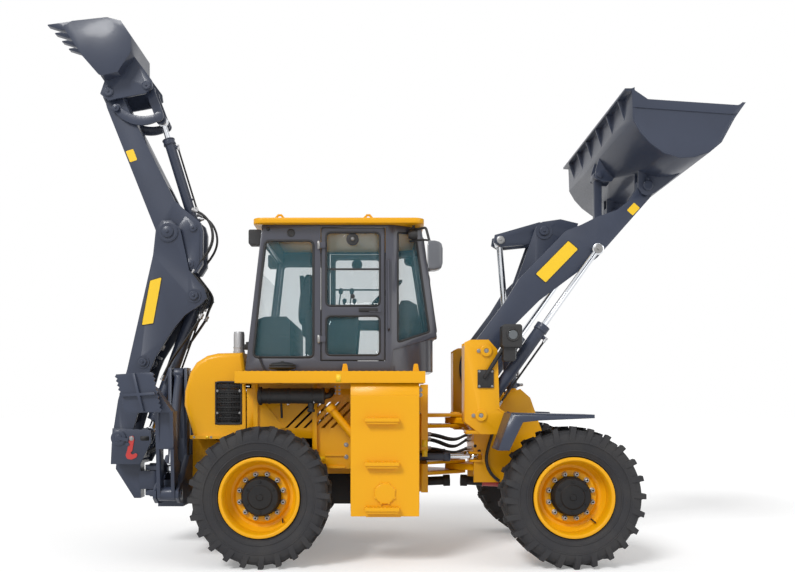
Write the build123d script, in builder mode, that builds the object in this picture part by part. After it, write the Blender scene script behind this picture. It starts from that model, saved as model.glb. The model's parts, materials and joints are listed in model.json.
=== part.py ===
"""Articulated backhoe loader: rear body with cab and backhoe, front body with loader.

Millimetres. +X is the loader end, +Y the operator's left, +Z up. The origin is on the ground,
in the middle of the machine's length and width, with the booms raised as the machine is parked.
"""
from build123d import *
from math import cos, hypot, radians, sin
import os

os.makedirs("parts", exist_ok=True)

# ---- Driving dimensions -------------------------------------------------------------------
AXLE_Z = 588.0            # wheel centre height, so the tyres stand on the ground
REAR_AXLE_X = -962.0
FRONT_AXLE_X = 1639.0
WHEEL_Y = 920.0           # middle of a tyre
TYRE_R = 588.0            # out to the lug tips
CARCASS_R = 555.0
TYRE_W = 410.0
BEAD_R = 336.0            # tyre inside, on the rim
HUB_R = 165.0             # planetary hub, which the wheel disc is centred on
HUB_FIT = 0.5
LUGS_A_SIDE = 24
LUG_CROWN = 3.3           # a lug's flat top lies this far inside the circle through its corners

PIVOT_X = 753.0           # articulation axis, vertical, on the centre plane
SWING_X = -2125.0         # backhoe swing axis, vertical, on the centre plane

# Pin centres as (x, z).
ARM_FOOT = (962.0, 1826.0)
ARM_TIP = (2410.0, 3300.0)
LIFT_BASE = (916.0, 1262.0)
LIFT_EYE = (1958.0, 2730.0)
CRANK_PIVOT = (1577.0, 2988.0)
CRANK_REAR = (1175.0, 2910.0)
CRANK_FRONT = (2114.0, 2860.0)
TILT_BASE = (1295.0, 1447.0)
LINK_ON_BUCKET = (2115.0, 3530.0)

BOOM_FOOT = (-2401.0, 1044.0)
BOOM_HEAD = (-1952.0, 2973.0)
BOOM_CYL_BASE = (-1708.0, 2376.0)
BOOM_CYL_EYE = (-2165.0, 1090.0)
DIPPER_CYL_BASE = (-2186.0, 1755.0)
DIPPER_CYL_EYE = (-1752.0, 2678.0)
HOE_CYL_BASE = (-1724.0, 3017.0)
HOE_BUCKET_PIN = (-2500.0, 4277.0)
GUIDE_PIN = (-2439.0, 4136.0)
GUIDE_END = (-2044.0, 4061.0)
LINK_ON_HOE = (-2147.0, 4335.0)

LEG_HINGE_Y = 800.0       # stabilizer hinge, axis along X
LEG_HINGE_Z = 590.0
LEG_CYL_Y = 390.0         # stabilizer cylinder's upper pin
LEG_CYL_Z = 1640.0
LEG_EYE_Y = 690.0         # its rod eye on the leg
LEG_EYE_Z = 800.0
LEG_X = -1790.0

ARM_Y = 505.0             # middle plane of a loader arm
ARM_HALF = 35.0           # half its thickness
LIFT_Y = 605.0            # lift cylinder, outside the arm
TOWER_INNER = (440.0, 462.0)   # the two plates of a tower, as spans of y
TOWER_OUTER = (674.0, 698.0)
STEER_BASE = (200.0, 322.0)   # steering cylinder pins, upright, as (x, y) on the left
STEER_EYE = (900.0, 250.0)
STEER_Z = 875.0

GAP = 6.0                 # side clearance between plates that turn past each other
PIN_FIT = 0.5             # radial clearance of an eye on its pin
SLIDE_FIT = 0.05          # radial clearance of a rod in its gland
CAP = 15.0                # cylinder base, gland and piston thicknesses
GLAND = 40.0
PISTON = 30.0


# ---- Small shape helpers: each adds to the part that is being built --------------------------
def plate(outline, y_low, y_high, mode=Mode.ADD, corner=0.0):
    """Upright plate: an (x, z) outline between two y values, its corners rounded if asked."""
    with BuildSketch(Plane.XZ.offset(-y_high)) as face:
        with BuildLine():
            Polyline(outline, close=True)
        make_face()
        if corner:
            fillet(face.vertices(), corner)
    extrude(face.sketch, amount=y_high - y_low, mode=mode)


def pair_of_plates(outline, y_low, y_high, mode=Mode.ADD, corner=0.0):
    """The same plate on both sides of the centre plane."""
    plate(outline, y_low, y_high, mode, corner)
    plate(outline, -y_high, -y_low, mode, corner)


def pin(centre, radius, y_low, y_high, mode=Mode.ADD):
    """Round bar or bore along Y at an (x, z) centre."""
    with BuildSketch(Plane.XZ.offset(-y_high)) as face:
        with Locations(centre):
            Circle(radius)
    extrude(face.sketch, amount=y_high - y_low, mode=mode)


def pair_of_pins(centre, radius, y_low, y_high, mode=Mode.ADD):
    pin(centre, radius, y_low, y_high, mode)
    pin(centre, radius, -y_high, -y_low, mode)


def upright(centre, radius, z_low, z_high, mode=Mode.ADD):
    """Round bar or bore along Z at an (x, y) centre."""
    with BuildSketch(Plane.XY.offset(z_low)) as face:
        with Locations(centre):
            Circle(radius)
    extrude(face.sketch, amount=z_high - z_low, mode=mode)


def deck(outline, z_low, z_high, mode=Mode.ADD, corner=0.0):
    """Flat plate: an (x, y) outline between two heights."""
    with BuildSketch(Plane.XY.offset(z_low)) as face:
        with BuildLine():
            Polyline(outline, close=True)
        make_face()
        if corner:
            fillet(face.vertices(), corner)
    extrude(face.sketch, amount=z_high - z_low, mode=mode)


def bulkhead(outline, x_low, x_high, mode=Mode.ADD, corner=0.0):
    """Cross plate: a (y, z) outline between two x values."""
    with BuildSketch(Plane.YZ.offset(x_low)) as face:
        with BuildLine():
            Polyline(outline, close=True)
        make_face()
        if corner:
            fillet(face.vertices(), corner)
    extrude(face.sketch, amount=x_high - x_low, mode=mode)


def block(x_span, y_span, z_span, mode=Mode.ADD):
    """Box between two corners given as spans."""
    middle = [(s[0] + s[1]) / 2 for s in (x_span, y_span, z_span)]
    with Locations(tuple(middle)):
        Box(x_span[1] - x_span[0], y_span[1] - y_span[0], z_span[1] - z_span[0], mode=mode)


def both_sides(x_span, y_span, z_span, mode=Mode.ADD):
    block(x_span, y_span, z_span, mode)
    block(x_span, (-y_span[1], -y_span[0]), z_span, mode)


def bar(start, end, radius, mode=Mode.ADD):
    """Round bar between two points in space."""
    run = Vector(*end) - Vector(*start)
    with BuildSketch(Plane(origin=start, z_dir=run)) as face:
        Circle(radius)
    extrude(face.sketch, amount=run.length, mode=mode)


def bent_tube(points, radius, bend):
    """Round tube along straight runs joined by arcs."""
    with BuildLine() as path:
        FilletPolyline(*points, radius=bend)
    run = Vector(*points[1]) - Vector(*points[0])
    with BuildSketch(Plane(origin=points[0], z_dir=run)) as face:
        Circle(radius)
    sweep(face.sketch, path=path.wires()[0])


def along(start, end, distance, side=0.0):
    """Point at a distance from start towards end, moved to the left of that line."""
    dx, dz = end[0] - start[0], end[1] - start[1]
    length = hypot(dx, dz)
    ux, uz = dx / length, dz / length
    return (start[0] + ux * distance - uz * side, start[1] + uz * distance + ux * side)


def save(part, name):
    part.part.label = name
    export_step(part.part, f"parts/{name}.step")


def turned(start, end, parts_list, mode=Mode.ADD):
    """Turned solids about the line start-end: (from, to, outer radius) along it, in space."""
    run = Vector(*end) - Vector(*start)
    for low, high, radius in parts_list:
        plane = Plane(origin=Vector(*start) + run.normalized() * low, z_dir=run)
        with BuildSketch(plane) as face:
            Circle(radius)
        extrude(face.sketch, amount=high - low, mode=mode)


# ---- Hydraulic cylinders -------------------------------------------------------------------
# Each row: name, base pin, rod eye (points in space), eye axis, eye half widths (base, rod),
# barrel radius, rod radius, gland distance from the base pin, pin radius.
def cylinder(rows, barrel_name, rod_name):
    """A barrel node and a rod node, each with one solid for every row."""
    with BuildPart() as barrels:
        for base, eye, axis, wide, bore_r, rod_r, gland, pin_r in rows:
            eye_r = pin_r + 22
            cap = eye_r + 8
            steps = [(pin_r + 4, cap, eye_r * 0.8), (cap, gland, bore_r), (gland - 60, gland, bore_r + 8)]
            turned(base, eye, steps)
            turned(base, eye, [(cap + CAP, gland - GLAND, bore_r - 10)], Mode.SUBTRACT)
            turned(base, eye, [(gland - GLAND - 1, gland + 1, rod_r + SLIDE_FIT)], Mode.SUBTRACT)
            a = Vector(*axis)
            bar(Vector(*base) - a * wide[0], Vector(*base) + a * wide[0], eye_r)
            bar(Vector(*base) - a * (wide[0] + 1), Vector(*base) + a * (wide[0] + 1), pin_r + PIN_FIT, Mode.SUBTRACT)
    save(barrels, barrel_name)
    with BuildPart() as rods:
        for base, eye, axis, wide, bore_r, rod_r, gland, pin_r in rows:
            run = Vector(*eye) - Vector(*base)
            eye_r = pin_r + 22
            piston = piston_start(run.length, gland, eye_r)
            turned(base, eye, [(piston, piston + PISTON, bore_r - 10.1), (piston, run.length - eye_r * 0.5, rod_r)])
            a = Vector(*axis)
            bar(Vector(*eye) - a * wide[1], Vector(*eye) + a * wide[1], eye_r)
            bar(Vector(*eye) - a * (wide[1] + 1), Vector(*eye) + a * (wide[1] + 1), pin_r + PIN_FIT, Mode.SUBTRACT)
    save(rods, rod_name)


def piston_start(length, gland, eye_r):
    """The piston's place at rest: as far back as the rod needs when it is all the way in."""
    closed = gland + eye_r + 12
    rod = closed - (eye_r + 8 + CAP) - 8
    return length - rod


Y_AXIS = (0, 1, 0)
X_AXIS = (1, 0, 0)
Z_AXIS = (0, 0, 1)


def at(point, y):
    return (point[0], y, point[1])


LIFT_ROWS = [
    (at(LIFT_BASE, y), at(LIFT_EYE, y), Y_AXIS, (55, 24), 55, 26, 975, 28)
    for y in (-LIFT_Y, LIFT_Y)
]
TILT_ROWS = [(at(TILT_BASE, 0), at(CRANK_REAR, 0), Y_AXIS, (64, 64), 60, 30, 825, 30)]
BOOM_CYL_ROWS = [(at(BOOM_CYL_BASE, 0), at(BOOM_CYL_EYE, 0), Y_AXIS, (60, 40), 62, 30, 1240, 32)]
DIPPER_CYL_ROWS = [(at(DIPPER_CYL_BASE, 0), at(DIPPER_CYL_EYE, 0), Y_AXIS, (60, 40), 50, 28, 930, 28)]
HOE_CYL_ROWS = [(at(HOE_CYL_BASE, 0), at(GUIDE_END, 0), Y_AXIS, (50, 32), 48, 26, 915, 26)]


# ---- Wheels --------------------------------------------------------------------------------
def tyre(x, side):
    """A traction tyre with a lug on each side in turn, slanted from shoulder to middle."""
    y = WHEEL_Y * side
    half = TYRE_W / 2
    # section as (radius, offset from the tyre's middle)
    section = [
        (BEAD_R, -145), (380, -178), (470, -half), (520, -198), (CARCASS_R, -165),
        (CARCASS_R + 6, 0),
        (CARCASS_R, 165), (520, 198), (470, half), (380, 178), (BEAD_R, 145),
    ]
    with BuildPart() as body:
        with BuildSketch(Plane.YZ.offset(x)) as face:
            with BuildLine():
                Polyline([(y + offset, AXLE_Z + radius) for radius, offset in section], close=True)
            make_face()
        revolve(face.sketch, axis=Axis((x, y, AXLE_Z), (0, 1, 0)))
        for number in range(2 * LUGS_A_SIDE):
            hand = 1 if number % 2 else -1
            turn = 180.0 / LUGS_A_SIDE * number
            lug(x, y, turn, hand)
    return body


def lug(x, y, turn, hand):
    """One lug: a slanted bar standing on the tread, cut from a plane square to the radius."""
    a = radians(turn)
    out = Vector(sin(a), 0, cos(a))
    plane = Plane(origin=Vector(x, y, AXLE_Z) + out * 500, x_dir=(0, hand, 0), z_dir=out)
    # outline on the tread: local x runs to the shoulder, local y round the tyre
    outline = [(-8, -62), (-8, -34), (120, 34), (198, 34), (198, -6), (130, -6)]
    with BuildSketch(plane) as face:
        with BuildLine():
            Polyline([(u, v * hand) for u, v in outline], close=True)
        make_face()
    extrude(face.sketch, amount=TYRE_R - 500 - LUG_CROWN)


def rim(x, side):
    """Wheel disc, dished far in, with its flange outside and the planetary hub in the middle."""
    y = WHEEL_Y * side
    # section as (radius, offset): offset grows outwards from the tyre's middle
    section = [
        (HUB_R + HUB_FIT, -22), (HUB_R + HUB_FIT, 20), (218, 20), (238, -8), (262, -8), (300, 30), (300, 158),
        (312, 178), (336, 176), (336, 150), (318, 140), (318, -140), (336, -150), (336, -176), (320, -180),
        (300, -158), (300, -30), (228, -28),
    ]
    with BuildPart() as wheel:
        with BuildSketch(Plane.YZ.offset(x)) as face:
            with BuildLine():
                Polyline([(y + side * offset, AXLE_Z + radius) for radius, offset in section], close=True)
            make_face()
        revolve(face.sketch, axis=Axis((x, y, AXLE_Z), (0, 1, 0)))
    return wheel


WHEELS = [
    # name, axle x, side (+1 is the left)
    ("front_right", FRONT_AXLE_X, -1), ("front_left", FRONT_AXLE_X, 1),
    ("rear_right", REAR_AXLE_X, -1), ("rear_left", REAR_AXLE_X, 1),
]
for wheel_name, wheel_x, wheel_side in WHEELS:
    save(tyre(wheel_x, wheel_side), f"{wheel_name}_tyre")
    save(rim(wheel_x, wheel_side), f"{wheel_name}_rim")


# ---- Axles ---------------------------------------------------------------------------------
def axle(x, bowl):
    """Drive axle: bowl in the middle, tapered arms, hub spindles that the wheels turn on."""
    # section as (offset from the centre plane, radius)
    section = [(0, 0), (0, bowl), (90, bowl * 0.97), (190, 110), (520, 95), (560, 150), (700, 150),
               (720, 140), (850, 140), (870, HUB_R), (985, HUB_R), (1012, 148), (1012, 96), (1026, 88), (1026, 0)]
    with BuildSketch(Plane.YZ.offset(x)) as face:
        with BuildLine():
            Polyline([(offset, AXLE_Z + radius) for offset, radius in section], close=True)
        make_face()
    revolve(face.sketch, axis=Axis((x, 0, AXLE_Z), (0, 1, 0)))
    mirror(about=Plane.XZ)


with BuildPart() as powertrain:
    # engine, a plain block under the hood, and the axle, gearbox and driveshaft below it
    block((-1430, -600), (-290, 290), (812, 1480))
    axle(REAR_AXLE_X, 205)
    both_sides((REAR_AXLE_X - 90, REAR_AXLE_X + 90), (380, 520), (AXLE_Z, 690))
    bar((REAR_AXLE_X, 0, AXLE_Z), (-560, 0, AXLE_Z + 10), 95)
    block((-560, -240), (-190, 190), (430, 880))
    bar((-250, 0, 590), (650, 0, 630), 42)
    bar((640, 0, 630), (702, 0, 632), 55)
    bar((300, 0, 614), (360, 0, 617), 62)
save(powertrain, "engine_and_rear_driveline")

with BuildPart() as front_axle:
    axle(FRONT_AXLE_X, 84)
    # differential case, set back behind the tubes to leave room for the bell crank
    with Locations((FRONT_AXLE_X - 60, 0, AXLE_Z)):
        Sphere(128)
    both_sides((FRONT_AXLE_X - 90, FRONT_AXLE_X + 90), (255, 420), (AXLE_Z, 720))
    bar((FRONT_AXLE_X, 0, AXLE_Z), (1330, 0, 600), 100)
    bar((1340, 0, 604), (860, 0, 630), 42)
    bar((866, 0, 630), (804, 0, 632), 55)
save(front_axle, "front_axle_and_driveline")


# ---- Rear frame ----------------------------------------------------------------------------
PANEL_X = (-560.0, -140.0)    # lower part of the engine bay's side panel, and its thickness
PANEL_Y = (575.0, 600.0)
PANEL_SLOTS = 6
RAIL = [(-1680, 560), (-1680, 1050), (-1500, 1050), (-1300, 960), (-200, 960), (60, 1130),
        (470, 1290), (470, 560), (240, 560), (100, 725), (-1550, 725)]
with BuildPart() as rear_frame:
    pair_of_plates(RAIL, 300, 345)
    block((-1680, -1640), (-345, 345), (600, 1050))
    block((-1500, -1440), (-300, 300), (810, 960))
    block((-160, -100), (-300, 300), (930, 1010))
    block((410, 470), (-420, 420), (560, 1290))
    # hole for the driveshaft, and slots that the steering cylinders lie in
    bar((400, 0, 622), (480, 0, 622), 70, Mode.SUBTRACT)
    both_sides((150, 480), (225, 430), (STEER_Z - 60, STEER_Z + 60), Mode.SUBTRACT)
    # rear axle pads
    both_sides((REAR_AXLE_X - 100, REAR_AXLE_X + 100), (340, 520), (697, 760))
    # cab and platform brackets
    for x in (-1080, -560, 60, 286):
        both_sides((x, x + 40), (330, 640), (1010 if x > -200 else 930, 1500))
        both_sides((x, x + 40), (300, 640), (1500, 1538))
    both_sides((286, 326), (345, 640), (700, 815))
    # front end: articulation lugs in pairs, with the two pivot pins
    for z_low, z_high in ((708, 738), (806, 832), (1140, 1172), (1240, 1272)):
        deck([(470, -330), (470, 330), (PIVOT_X + 40, 95), (PIVOT_X + 95, 40), (PIVOT_X + 95, -40),
              (PIVOT_X + 40, -95)], z_low, z_high)
    upright((PIVOT_X, 0), 45, 700, 838)
    upright((PIVOT_X, 0), 45, 1130, 1285)
    # pins of the steering cylinders' bases, held in the rails above and below the slots
    for y in (-STEER_BASE[1], STEER_BASE[1]):
        upright((STEER_BASE[0], y), 20, STEER_Z - 70, STEER_Z + 70)
    # end plates that carry the platforms' front, above the cross member
    both_sides((400, 470), (380, 420), (1280, 1538))
    # side panels of the engine bay, with slanted cooling slots, on braces from the rails
    both_sides(PANEL_X, PANEL_Y, (790, 1180))
    both_sides((PANEL_X[0] - 540, PANEL_X[1]), PANEL_Y, (1060, 1500))
    for number in range(PANEL_SLOTS):
        low = PANEL_X[0] - 246 + number * 80
        pair_of_plates([(low, 1150), (low + 26, 1150), (low + 256, 1380), (low + 230, 1380)], PANEL_Y[0] - 5,
                       PANEL_Y[1] + 5, Mode.SUBTRACT)
    for brace in (PANEL_X[0], PANEL_X[1] - 40):
        both_sides((brace, brace + 40), (320, PANEL_Y[1]), (940, 1040))
    # gusset from the hood's foot down to the panel
    pair_of_plates([(-1140, 1500), (-1093, 1500), (-802, 1150), (-1100, 1100), (-1140, 1100)], PANEL_Y[1] - 1,
                   PANEL_Y[1] + 14)
save(rear_frame, "rear_frame")

# ---- Backhoe frame: bolted across the back of the rails --------------------------------------
with BuildPart() as backhoe_frame:
    pair_of_plates([(-1900, 450), (-1900, 1050), (-1680, 1050), (-1680, 450)], 300, 345)
    block((-1900, -1850), (-300, 300), (510, 1050))
    # stabilizer beam across the back
    bulkhead([(-700, 470), (700, 470), (700, 700), (450, 900), (-450, 900), (-700, 700)], -1900, -1850)
    bulkhead([(-700, 470), (700, 470), (700, 700), (450, 900), (-450, 900), (-700, 700)], -1730, -1680)
    block((-1900, -1680), (-700, 700), (470, 510))
    both_sides((-1850, -1730), (640, 700), (510, 700))
    # hinge ears of the stabilizers, and the pins through them
    for y in (-LEG_HINGE_Y, LEG_HINGE_Y):
        for x_low, x_high in ((-1900, -1872), (-1708, -1680)):
            inner = 690 * (1 if y > 0 else -1)
            bulkhead([(inner, 500), (y, 510), (y * 1.085, 560), (y * 1.085, 620), (y, 670), (inner, 700)],
                     x_low, x_high)
        bar((-1910, y, LEG_HINGE_Z), (-1670, y, LEG_HINGE_Z), 34)
    # posts that hold the stabilizer cylinders' upper pins
    both_sides((-1880, -1850), (300, 440), (850, 1690))
    both_sides((-1735, -1708), (300, 440), (850, 1690))
    both_sides((-1880, -1708), (300, 332), (1045, 1690))
    for y in (-LEG_CYL_Y, LEG_CYL_Y):
        bar((-1885, y, LEG_CYL_Z), (-1702, y, LEG_CYL_Z), 26)
    # swing lugs behind, with the swing pin
    for z_low, z_high in ((494, 550), (735, 780)):
        deck([(-1900, -128), (-1900, 128), (SWING_X - 10, 88), (SWING_X - 65, 62), (SWING_X - 88, 0),
              (SWING_X - 65, -62), (SWING_X - 10, -88)], z_low, z_high)
    upright((SWING_X, 0), 45, 480, 795)
save(backhoe_frame, "backhoe_frame")


# ---- Hood, grilles, platforms, tanks --------------------------------------------------------
# Hood outline from the side, its back leaning out to a crease and then rolling over to the top.
HOOD_SIDE = [(-1618, 1085), (-1698, 1353), (-1692, 1480), (-1645, 1645), (-1590, 1730), (-1495, 1790),
             (-1400, 1812), (-1180, 1818), (-1150, 1630), (-1150, 1085)]
HOOD_INSIDE = [(-1590, 1050), (-1672, 1353), (-1666, 1478), (-1621, 1633), (-1572, 1710), (-1485, 1765),
               (-1398, 1787), (-1200, 1793), (-1170, 1630), (-1100, 1500), (-1100, 1050)]
HOOD_HALF = 620.0
HOOD_ROUND = 48.0
SIDE_GRILLE = ((-1420.0, -1180.0), (1180.0, 1560.0))
BACK_GRILLE_Z = (1400.0, 1600.0)
with BuildPart() as hood:
    plate(HOOD_SIDE, -HOOD_HALF, HOOD_HALF)
    rounded = [
        edge for edge in hood.edges()
        if abs(edge.center().Y) > HOOD_HALF - 1 and edge.center().X < -1160 and edge.center().Z > 1100
    ]
    fillet(rounded, HOOD_ROUND)
    plate(HOOD_INSIDE, -HOOD_HALF + 25, HOOD_HALF - 25, Mode.SUBTRACT)
    both_sides(SIDE_GRILLE[0], (HOOD_HALF - 60, HOOD_HALF + 20), SIDE_GRILLE[1], Mode.SUBTRACT)
    block((-1720, -1600), (-380, 380), BACK_GRILLE_Z, Mode.SUBTRACT)
    # flange round the bottom
    both_sides((-1636, -1150), (595, 640), (1055, 1085))
    block((-1636, -1590), (-640, 640), (1055, 1086))
save(hood, "engine_hood")

with BuildPart() as grilles:
    for side in (-1, 1):
        middle = side * (HOOD_HALF - 14)
        for row in range(8):
            z = SIDE_GRILLE[1][0] + 2 + 47 * row
            block((SIDE_GRILLE[0][0], SIDE_GRILLE[0][1]), (middle - 10, middle + 10), (z, z + 22))
        for x in (SIDE_GRILLE[0][0], -1310, SIDE_GRILLE[0][1] - 20):
            block((x, x + 20), (middle - 6, middle + 6), (SIDE_GRILLE[1][0], SIDE_GRILLE[1][1] - 8))
    for row in range(4):
        z = BACK_GRILLE_Z[0] + 6 + 50 * row
        x = -1688 + (z - 1400) * 0.19
        block((x, x + 18), (-380, 380), (z, z + 24))
    for y in (-380, -10, 360):
        block((-1672, -1650), (y, y + 20), (BACK_GRILLE_Z[0], BACK_GRILLE_Z[1] - 10))
save(grilles, "hood_grilles")

PLATFORM_Z = (1540.0, 1638.0)
with BuildPart() as platforms:
    for side in (-1, 1):
        spans = sorted((side * 690, side * 1000))
        block((-1180, 415), spans, (PLATFORM_Z[1] - 18, PLATFORM_Z[1]))
        edge = sorted((side * 982, side * 1000))
        block((-1180, 415), edge, PLATFORM_Z)
        inner = sorted((side * 640, side * 700))
        block((-1180, 415), inner, (PLATFORM_Z[0] - 1, PLATFORM_Z[1]))
        block((-1180, -1162), spans, PLATFORM_Z)
        block((397, 415), spans, PLATFORM_Z)
        for x in (-840, -420, 0):
            block((x, x + 18), spans, PLATFORM_Z)
        # lifting lugs standing on the deck
        lug_span = sorted((side * 752, side * 772))
        for x in (-267, 345):
            plate([(x - 30, PLATFORM_Z[1] - 4), (x + 30, PLATFORM_Z[1] - 4), (x + 17, PLATFORM_Z[1] + 72),
                   (x - 17, PLATFORM_Z[1] + 72)], lug_span[0], lug_span[1], corner=8)
save(platforms, "side_platforms")

with BuildPart() as tanks:
    for side in (-1, 1):
        outer = 998 * side
        inner = 660 * side
        section = [(inner, 470), (outer * 0.93, 428), (outer, 500), (outer, 1430), (outer * 0.96, 1539), (inner, 1539)]
        bulkhead(section, -211, 365)
        # step recesses and their treads
        for z_low in (1196, 820, 440):
            span = sorted((outer - 75 * side, outer + 2 * side))
            block((-81, 211), span, (z_low, z_low + 190 if z_low > 500 else 640), Mode.SUBTRACT)
            tread = sorted((outer - 76 * side, outer))
            block((-81, 211), tread, (z_low - 22, z_low + 8))
    # filler pipe out of the right tank, with its cap
    bar((-200, -760, 1090), (-380, -760, 1315), 34)
    bar((-376, -760, 1310), (-406, -760, 1347), 46)
save(tanks, "side_tanks")

with BuildPart() as intake:
    # air cleaner on the right
    bar((-985, -760, 1432), (-470, -760, 1432), 66)
    bar((-1010, -760, 1432), (-985, -760, 1432), 72)
    bar((-470, -760, 1432), (-445, -760, 1432), 72)
    for x in (-900, -600):
        block((x, x + 40), (-760, -600), (1400, 1440))
    # exhaust stack and intake head behind the cab
    upright((-1240, -430), 34, 1818, 2010)
    upright((-1240, -430), 46, 1818, 1940)
    upright((-1240, 300), 42, 1818, 1900)
    upright((-1240, 300), 90, 1900, 1950)
    upright((-1240, 300), 60, 1950, 1975)
save(intake, "air_cleaner_and_stacks")


# ---- Cab -----------------------------------------------------------------------------------
CAB_HALF = 680.0
CAB_WALL = 42.0
CAB_BOTTOM = 1640.0
CAB_TOP = 2930.0
CAB_SIDE = [(-1145, CAB_BOTTOM), (-996, CAB_TOP), (405, CAB_TOP), (549, 1967), (150, 1835), (135, CAB_BOTTOM)]
CAB_PLAN = [(-1145, -CAB_HALF), (140, -CAB_HALF), (549, -450), (549, 450), (140, CAB_HALF), (-1145, CAB_HALF)]
INNER_SIDE = [(-1098, CAB_BOTTOM + CAB_WALL), (-953, CAB_TOP + 5), (362, CAB_TOP + 5), (502, 1992),
              (120, 1868), (95, CAB_BOTTOM + CAB_WALL)]
INNER_PLAN = [(-1100, -CAB_HALF + CAB_WALL), (128, -CAB_HALF + CAB_WALL), (520, -418), (520, 418),
              (128, CAB_HALF - CAB_WALL), (-1100, CAB_HALF - CAB_WALL)]
DOOR_OPENING = [(-486, 1738), (-486, 2912), (84, 2912), (84, 1738)]
REAR_SIDE_WINDOW = [(-1075, 1772), (-968, 2790), (-548, 2790), (-548, 1772)]
CORNER_OPENING = [(192, 1905), (192, 2870), (352, 2870), (478, 2010)]
WINDSCREEN_OPENING = [(-400, 2020), (400, 2020), (462, 2860), (-462, 2860)]   # as (y, z)

with BuildPart() as cab:
    plate(CAB_SIDE, -CAB_HALF, CAB_HALF)
    deck(CAB_PLAN, CAB_BOTTOM - 10, CAB_TOP + 10, Mode.INTERSECT)
    with BuildPart(mode=Mode.PRIVATE) as hollow:
        plate(INNER_SIDE, -CAB_HALF, CAB_HALF)
        deck(INNER_PLAN, CAB_BOTTOM - 10, CAB_TOP + 10, Mode.INTERSECT)
    add(hollow.part, mode=Mode.SUBTRACT)
    # windows and door openings through the side walls
    for side in (-1, 1):
        span = sorted((side * (CAB_HALF - CAB_WALL - 5), side * (CAB_HALF + 5)))
        plate(DOOR_OPENING, span[0], span[1], Mode.SUBTRACT)
        plate(REAR_SIDE_WINDOW, span[0], span[1], Mode.SUBTRACT, corner=45)
    # front corner windows: through the slanted walls
    for side in (-1, 1):
        span = sorted((side * 440, side * (CAB_HALF + 5)))
        plate(CORNER_OPENING, span[0], span[1], Mode.SUBTRACT)
    # windscreen, and rear window
    bulkhead(WINDSCREEN_OPENING, 330, 600, Mode.SUBTRACT)
    bulkhead([(-560, 1900), (560, 1900), (560, 2800), (-560, 2800)], -1200, -940, Mode.SUBTRACT)
save(cab, "cab_frame")

with BuildPart() as roof:
    with BuildSketch(Plane.XY.offset(CAB_TOP + 1)) as slab:
        with Locations((-325, 0)):
            RectangleRounded(1490, 1520, 90)
    extrude(slab.sketch, amount=44)
    with BuildSketch(Plane.XY.offset(CAB_TOP + 45)) as crown:
        with Locations((-325, 0)):
            RectangleRounded(1200, 1240, 120)
    extrude(crown.sketch, amount=14, taper=40)
save(roof, "cab_roof")

with BuildPart() as eyes:
    for x in (-860, -70):
        for y in (-520, 520):
            plate([(x - 45, CAB_TOP + 60), (x + 45, CAB_TOP + 60), (x + 45, CAB_TOP + 95), (x + 18, CAB_TOP + 128),
                   (x - 18, CAB_TOP + 128), (x - 45, CAB_TOP + 95)], y - 9, y + 9)
            pin((x, CAB_TOP + 96), 16, y - 10, y + 10, Mode.SUBTRACT)
save(eyes, "roof_lifting_eyes")

GLASS = 6.0


def front_at(z, inset):
    """Place along X of the cab's sloping front at a height, moved inwards."""
    top, foot = CAB_SIDE[2], CAB_SIDE[3]
    return top[0] + (top[1] - z) * (foot[0] - top[0]) / (top[1] - foot[1]) - inset


with BuildPart() as windscreen:
    plate([(front_at(2020, 18), 2020), (front_at(2860, 18), 2860), (front_at(2860, 18 + GLASS), 2860),
           (front_at(2020, 18 + GLASS), 2020)], -470, 470)
    bulkhead(WINDSCREEN_OPENING, 300, 600, Mode.INTERSECT)

with BuildPart() as corner_panes:
    # along the slanted walls between the door pillars and the windscreen, seen from above
    foot, front = Vector(*CAB_PLAN[4]), Vector(*CAB_PLAN[3])
    inwards = (front - foot).normalized().rotate(Axis.Z, 90) * -1
    inwards = inwards if inwards.Y < 0 else inwards * -1
    strip = [foot + inwards * 18, front + inwards * 18, front + inwards * (18 + GLASS), foot + inwards * (18 + GLASS)]
    deck([(point.X, point.Y) for point in strip], 1900, 2875)
    plate(CORNER_OPENING, 400, CAB_HALF + 5, Mode.INTERSECT)
    mirror(about=Plane.XZ)

with BuildPart() as glass:
    for side in (-1, 1):
        span = sorted((side * (CAB_HALF - 20), side * (CAB_HALF - 20 - GLASS)))
        plate(REAR_SIDE_WINDOW, span[0], span[1], corner=45)
    block((-1046, -1040), (-558, 558), (1902, 2560))
    add(windscreen.part)
    add(corner_panes.part)
save(glass, "cab_glass")


def door(side):
    """Door leaf with its two windows cut, and the barrels of its hinges."""
    outer = sorted((side * (CAB_HALF - 36), side * CAB_HALF))
    x_low, x_high, z_low, z_high = -480, 78, 1744, 2906
    with BuildPart() as leaf:
        block((x_low, x_high), outer, (z_low, z_high))
        plate([(-436, 2222), (-436, 2862), (34, 2862), (34, 2222)], side * CAB_HALF - 50, side * CAB_HALF + 50,
              Mode.SUBTRACT, corner=50)
        plate([(-436, 1790), (-436, 2132), (34, 2132), (34, 1790)], side * CAB_HALF - 50, side * CAB_HALF + 50,
              Mode.SUBTRACT, corner=50)
        for z in (1900, 2720):
            upright((-500, side * 700), 12, z, z + 60)
            block((-500, -440), sorted((side * 683, side * 700)), (z + 5, z + 55))
            block((-475, -440), sorted((side * 678, side * 690)), (z + 5, z + 55))
        handle = sorted((side * 678, side * 712))
        block((-60, 40), handle, (2165, 2190))
    return leaf


for door_name, door_side in (("right", -1), ("left", 1)):
    save(door(door_side), f"{door_name}_door")
    with BuildPart() as pane:
        span = sorted((door_side * (CAB_HALF - 15), door_side * (CAB_HALF - 15 - GLASS)))
        plate([(-436, 2222), (-436, 2862), (34, 2862), (34, 2222)], span[0], span[1], corner=50)
        plate([(-436, 1790), (-436, 2132), (34, 2132), (34, 1790)], span[0], span[1], corner=50)
    save(pane, f"{door_name}_door_glass")

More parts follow.
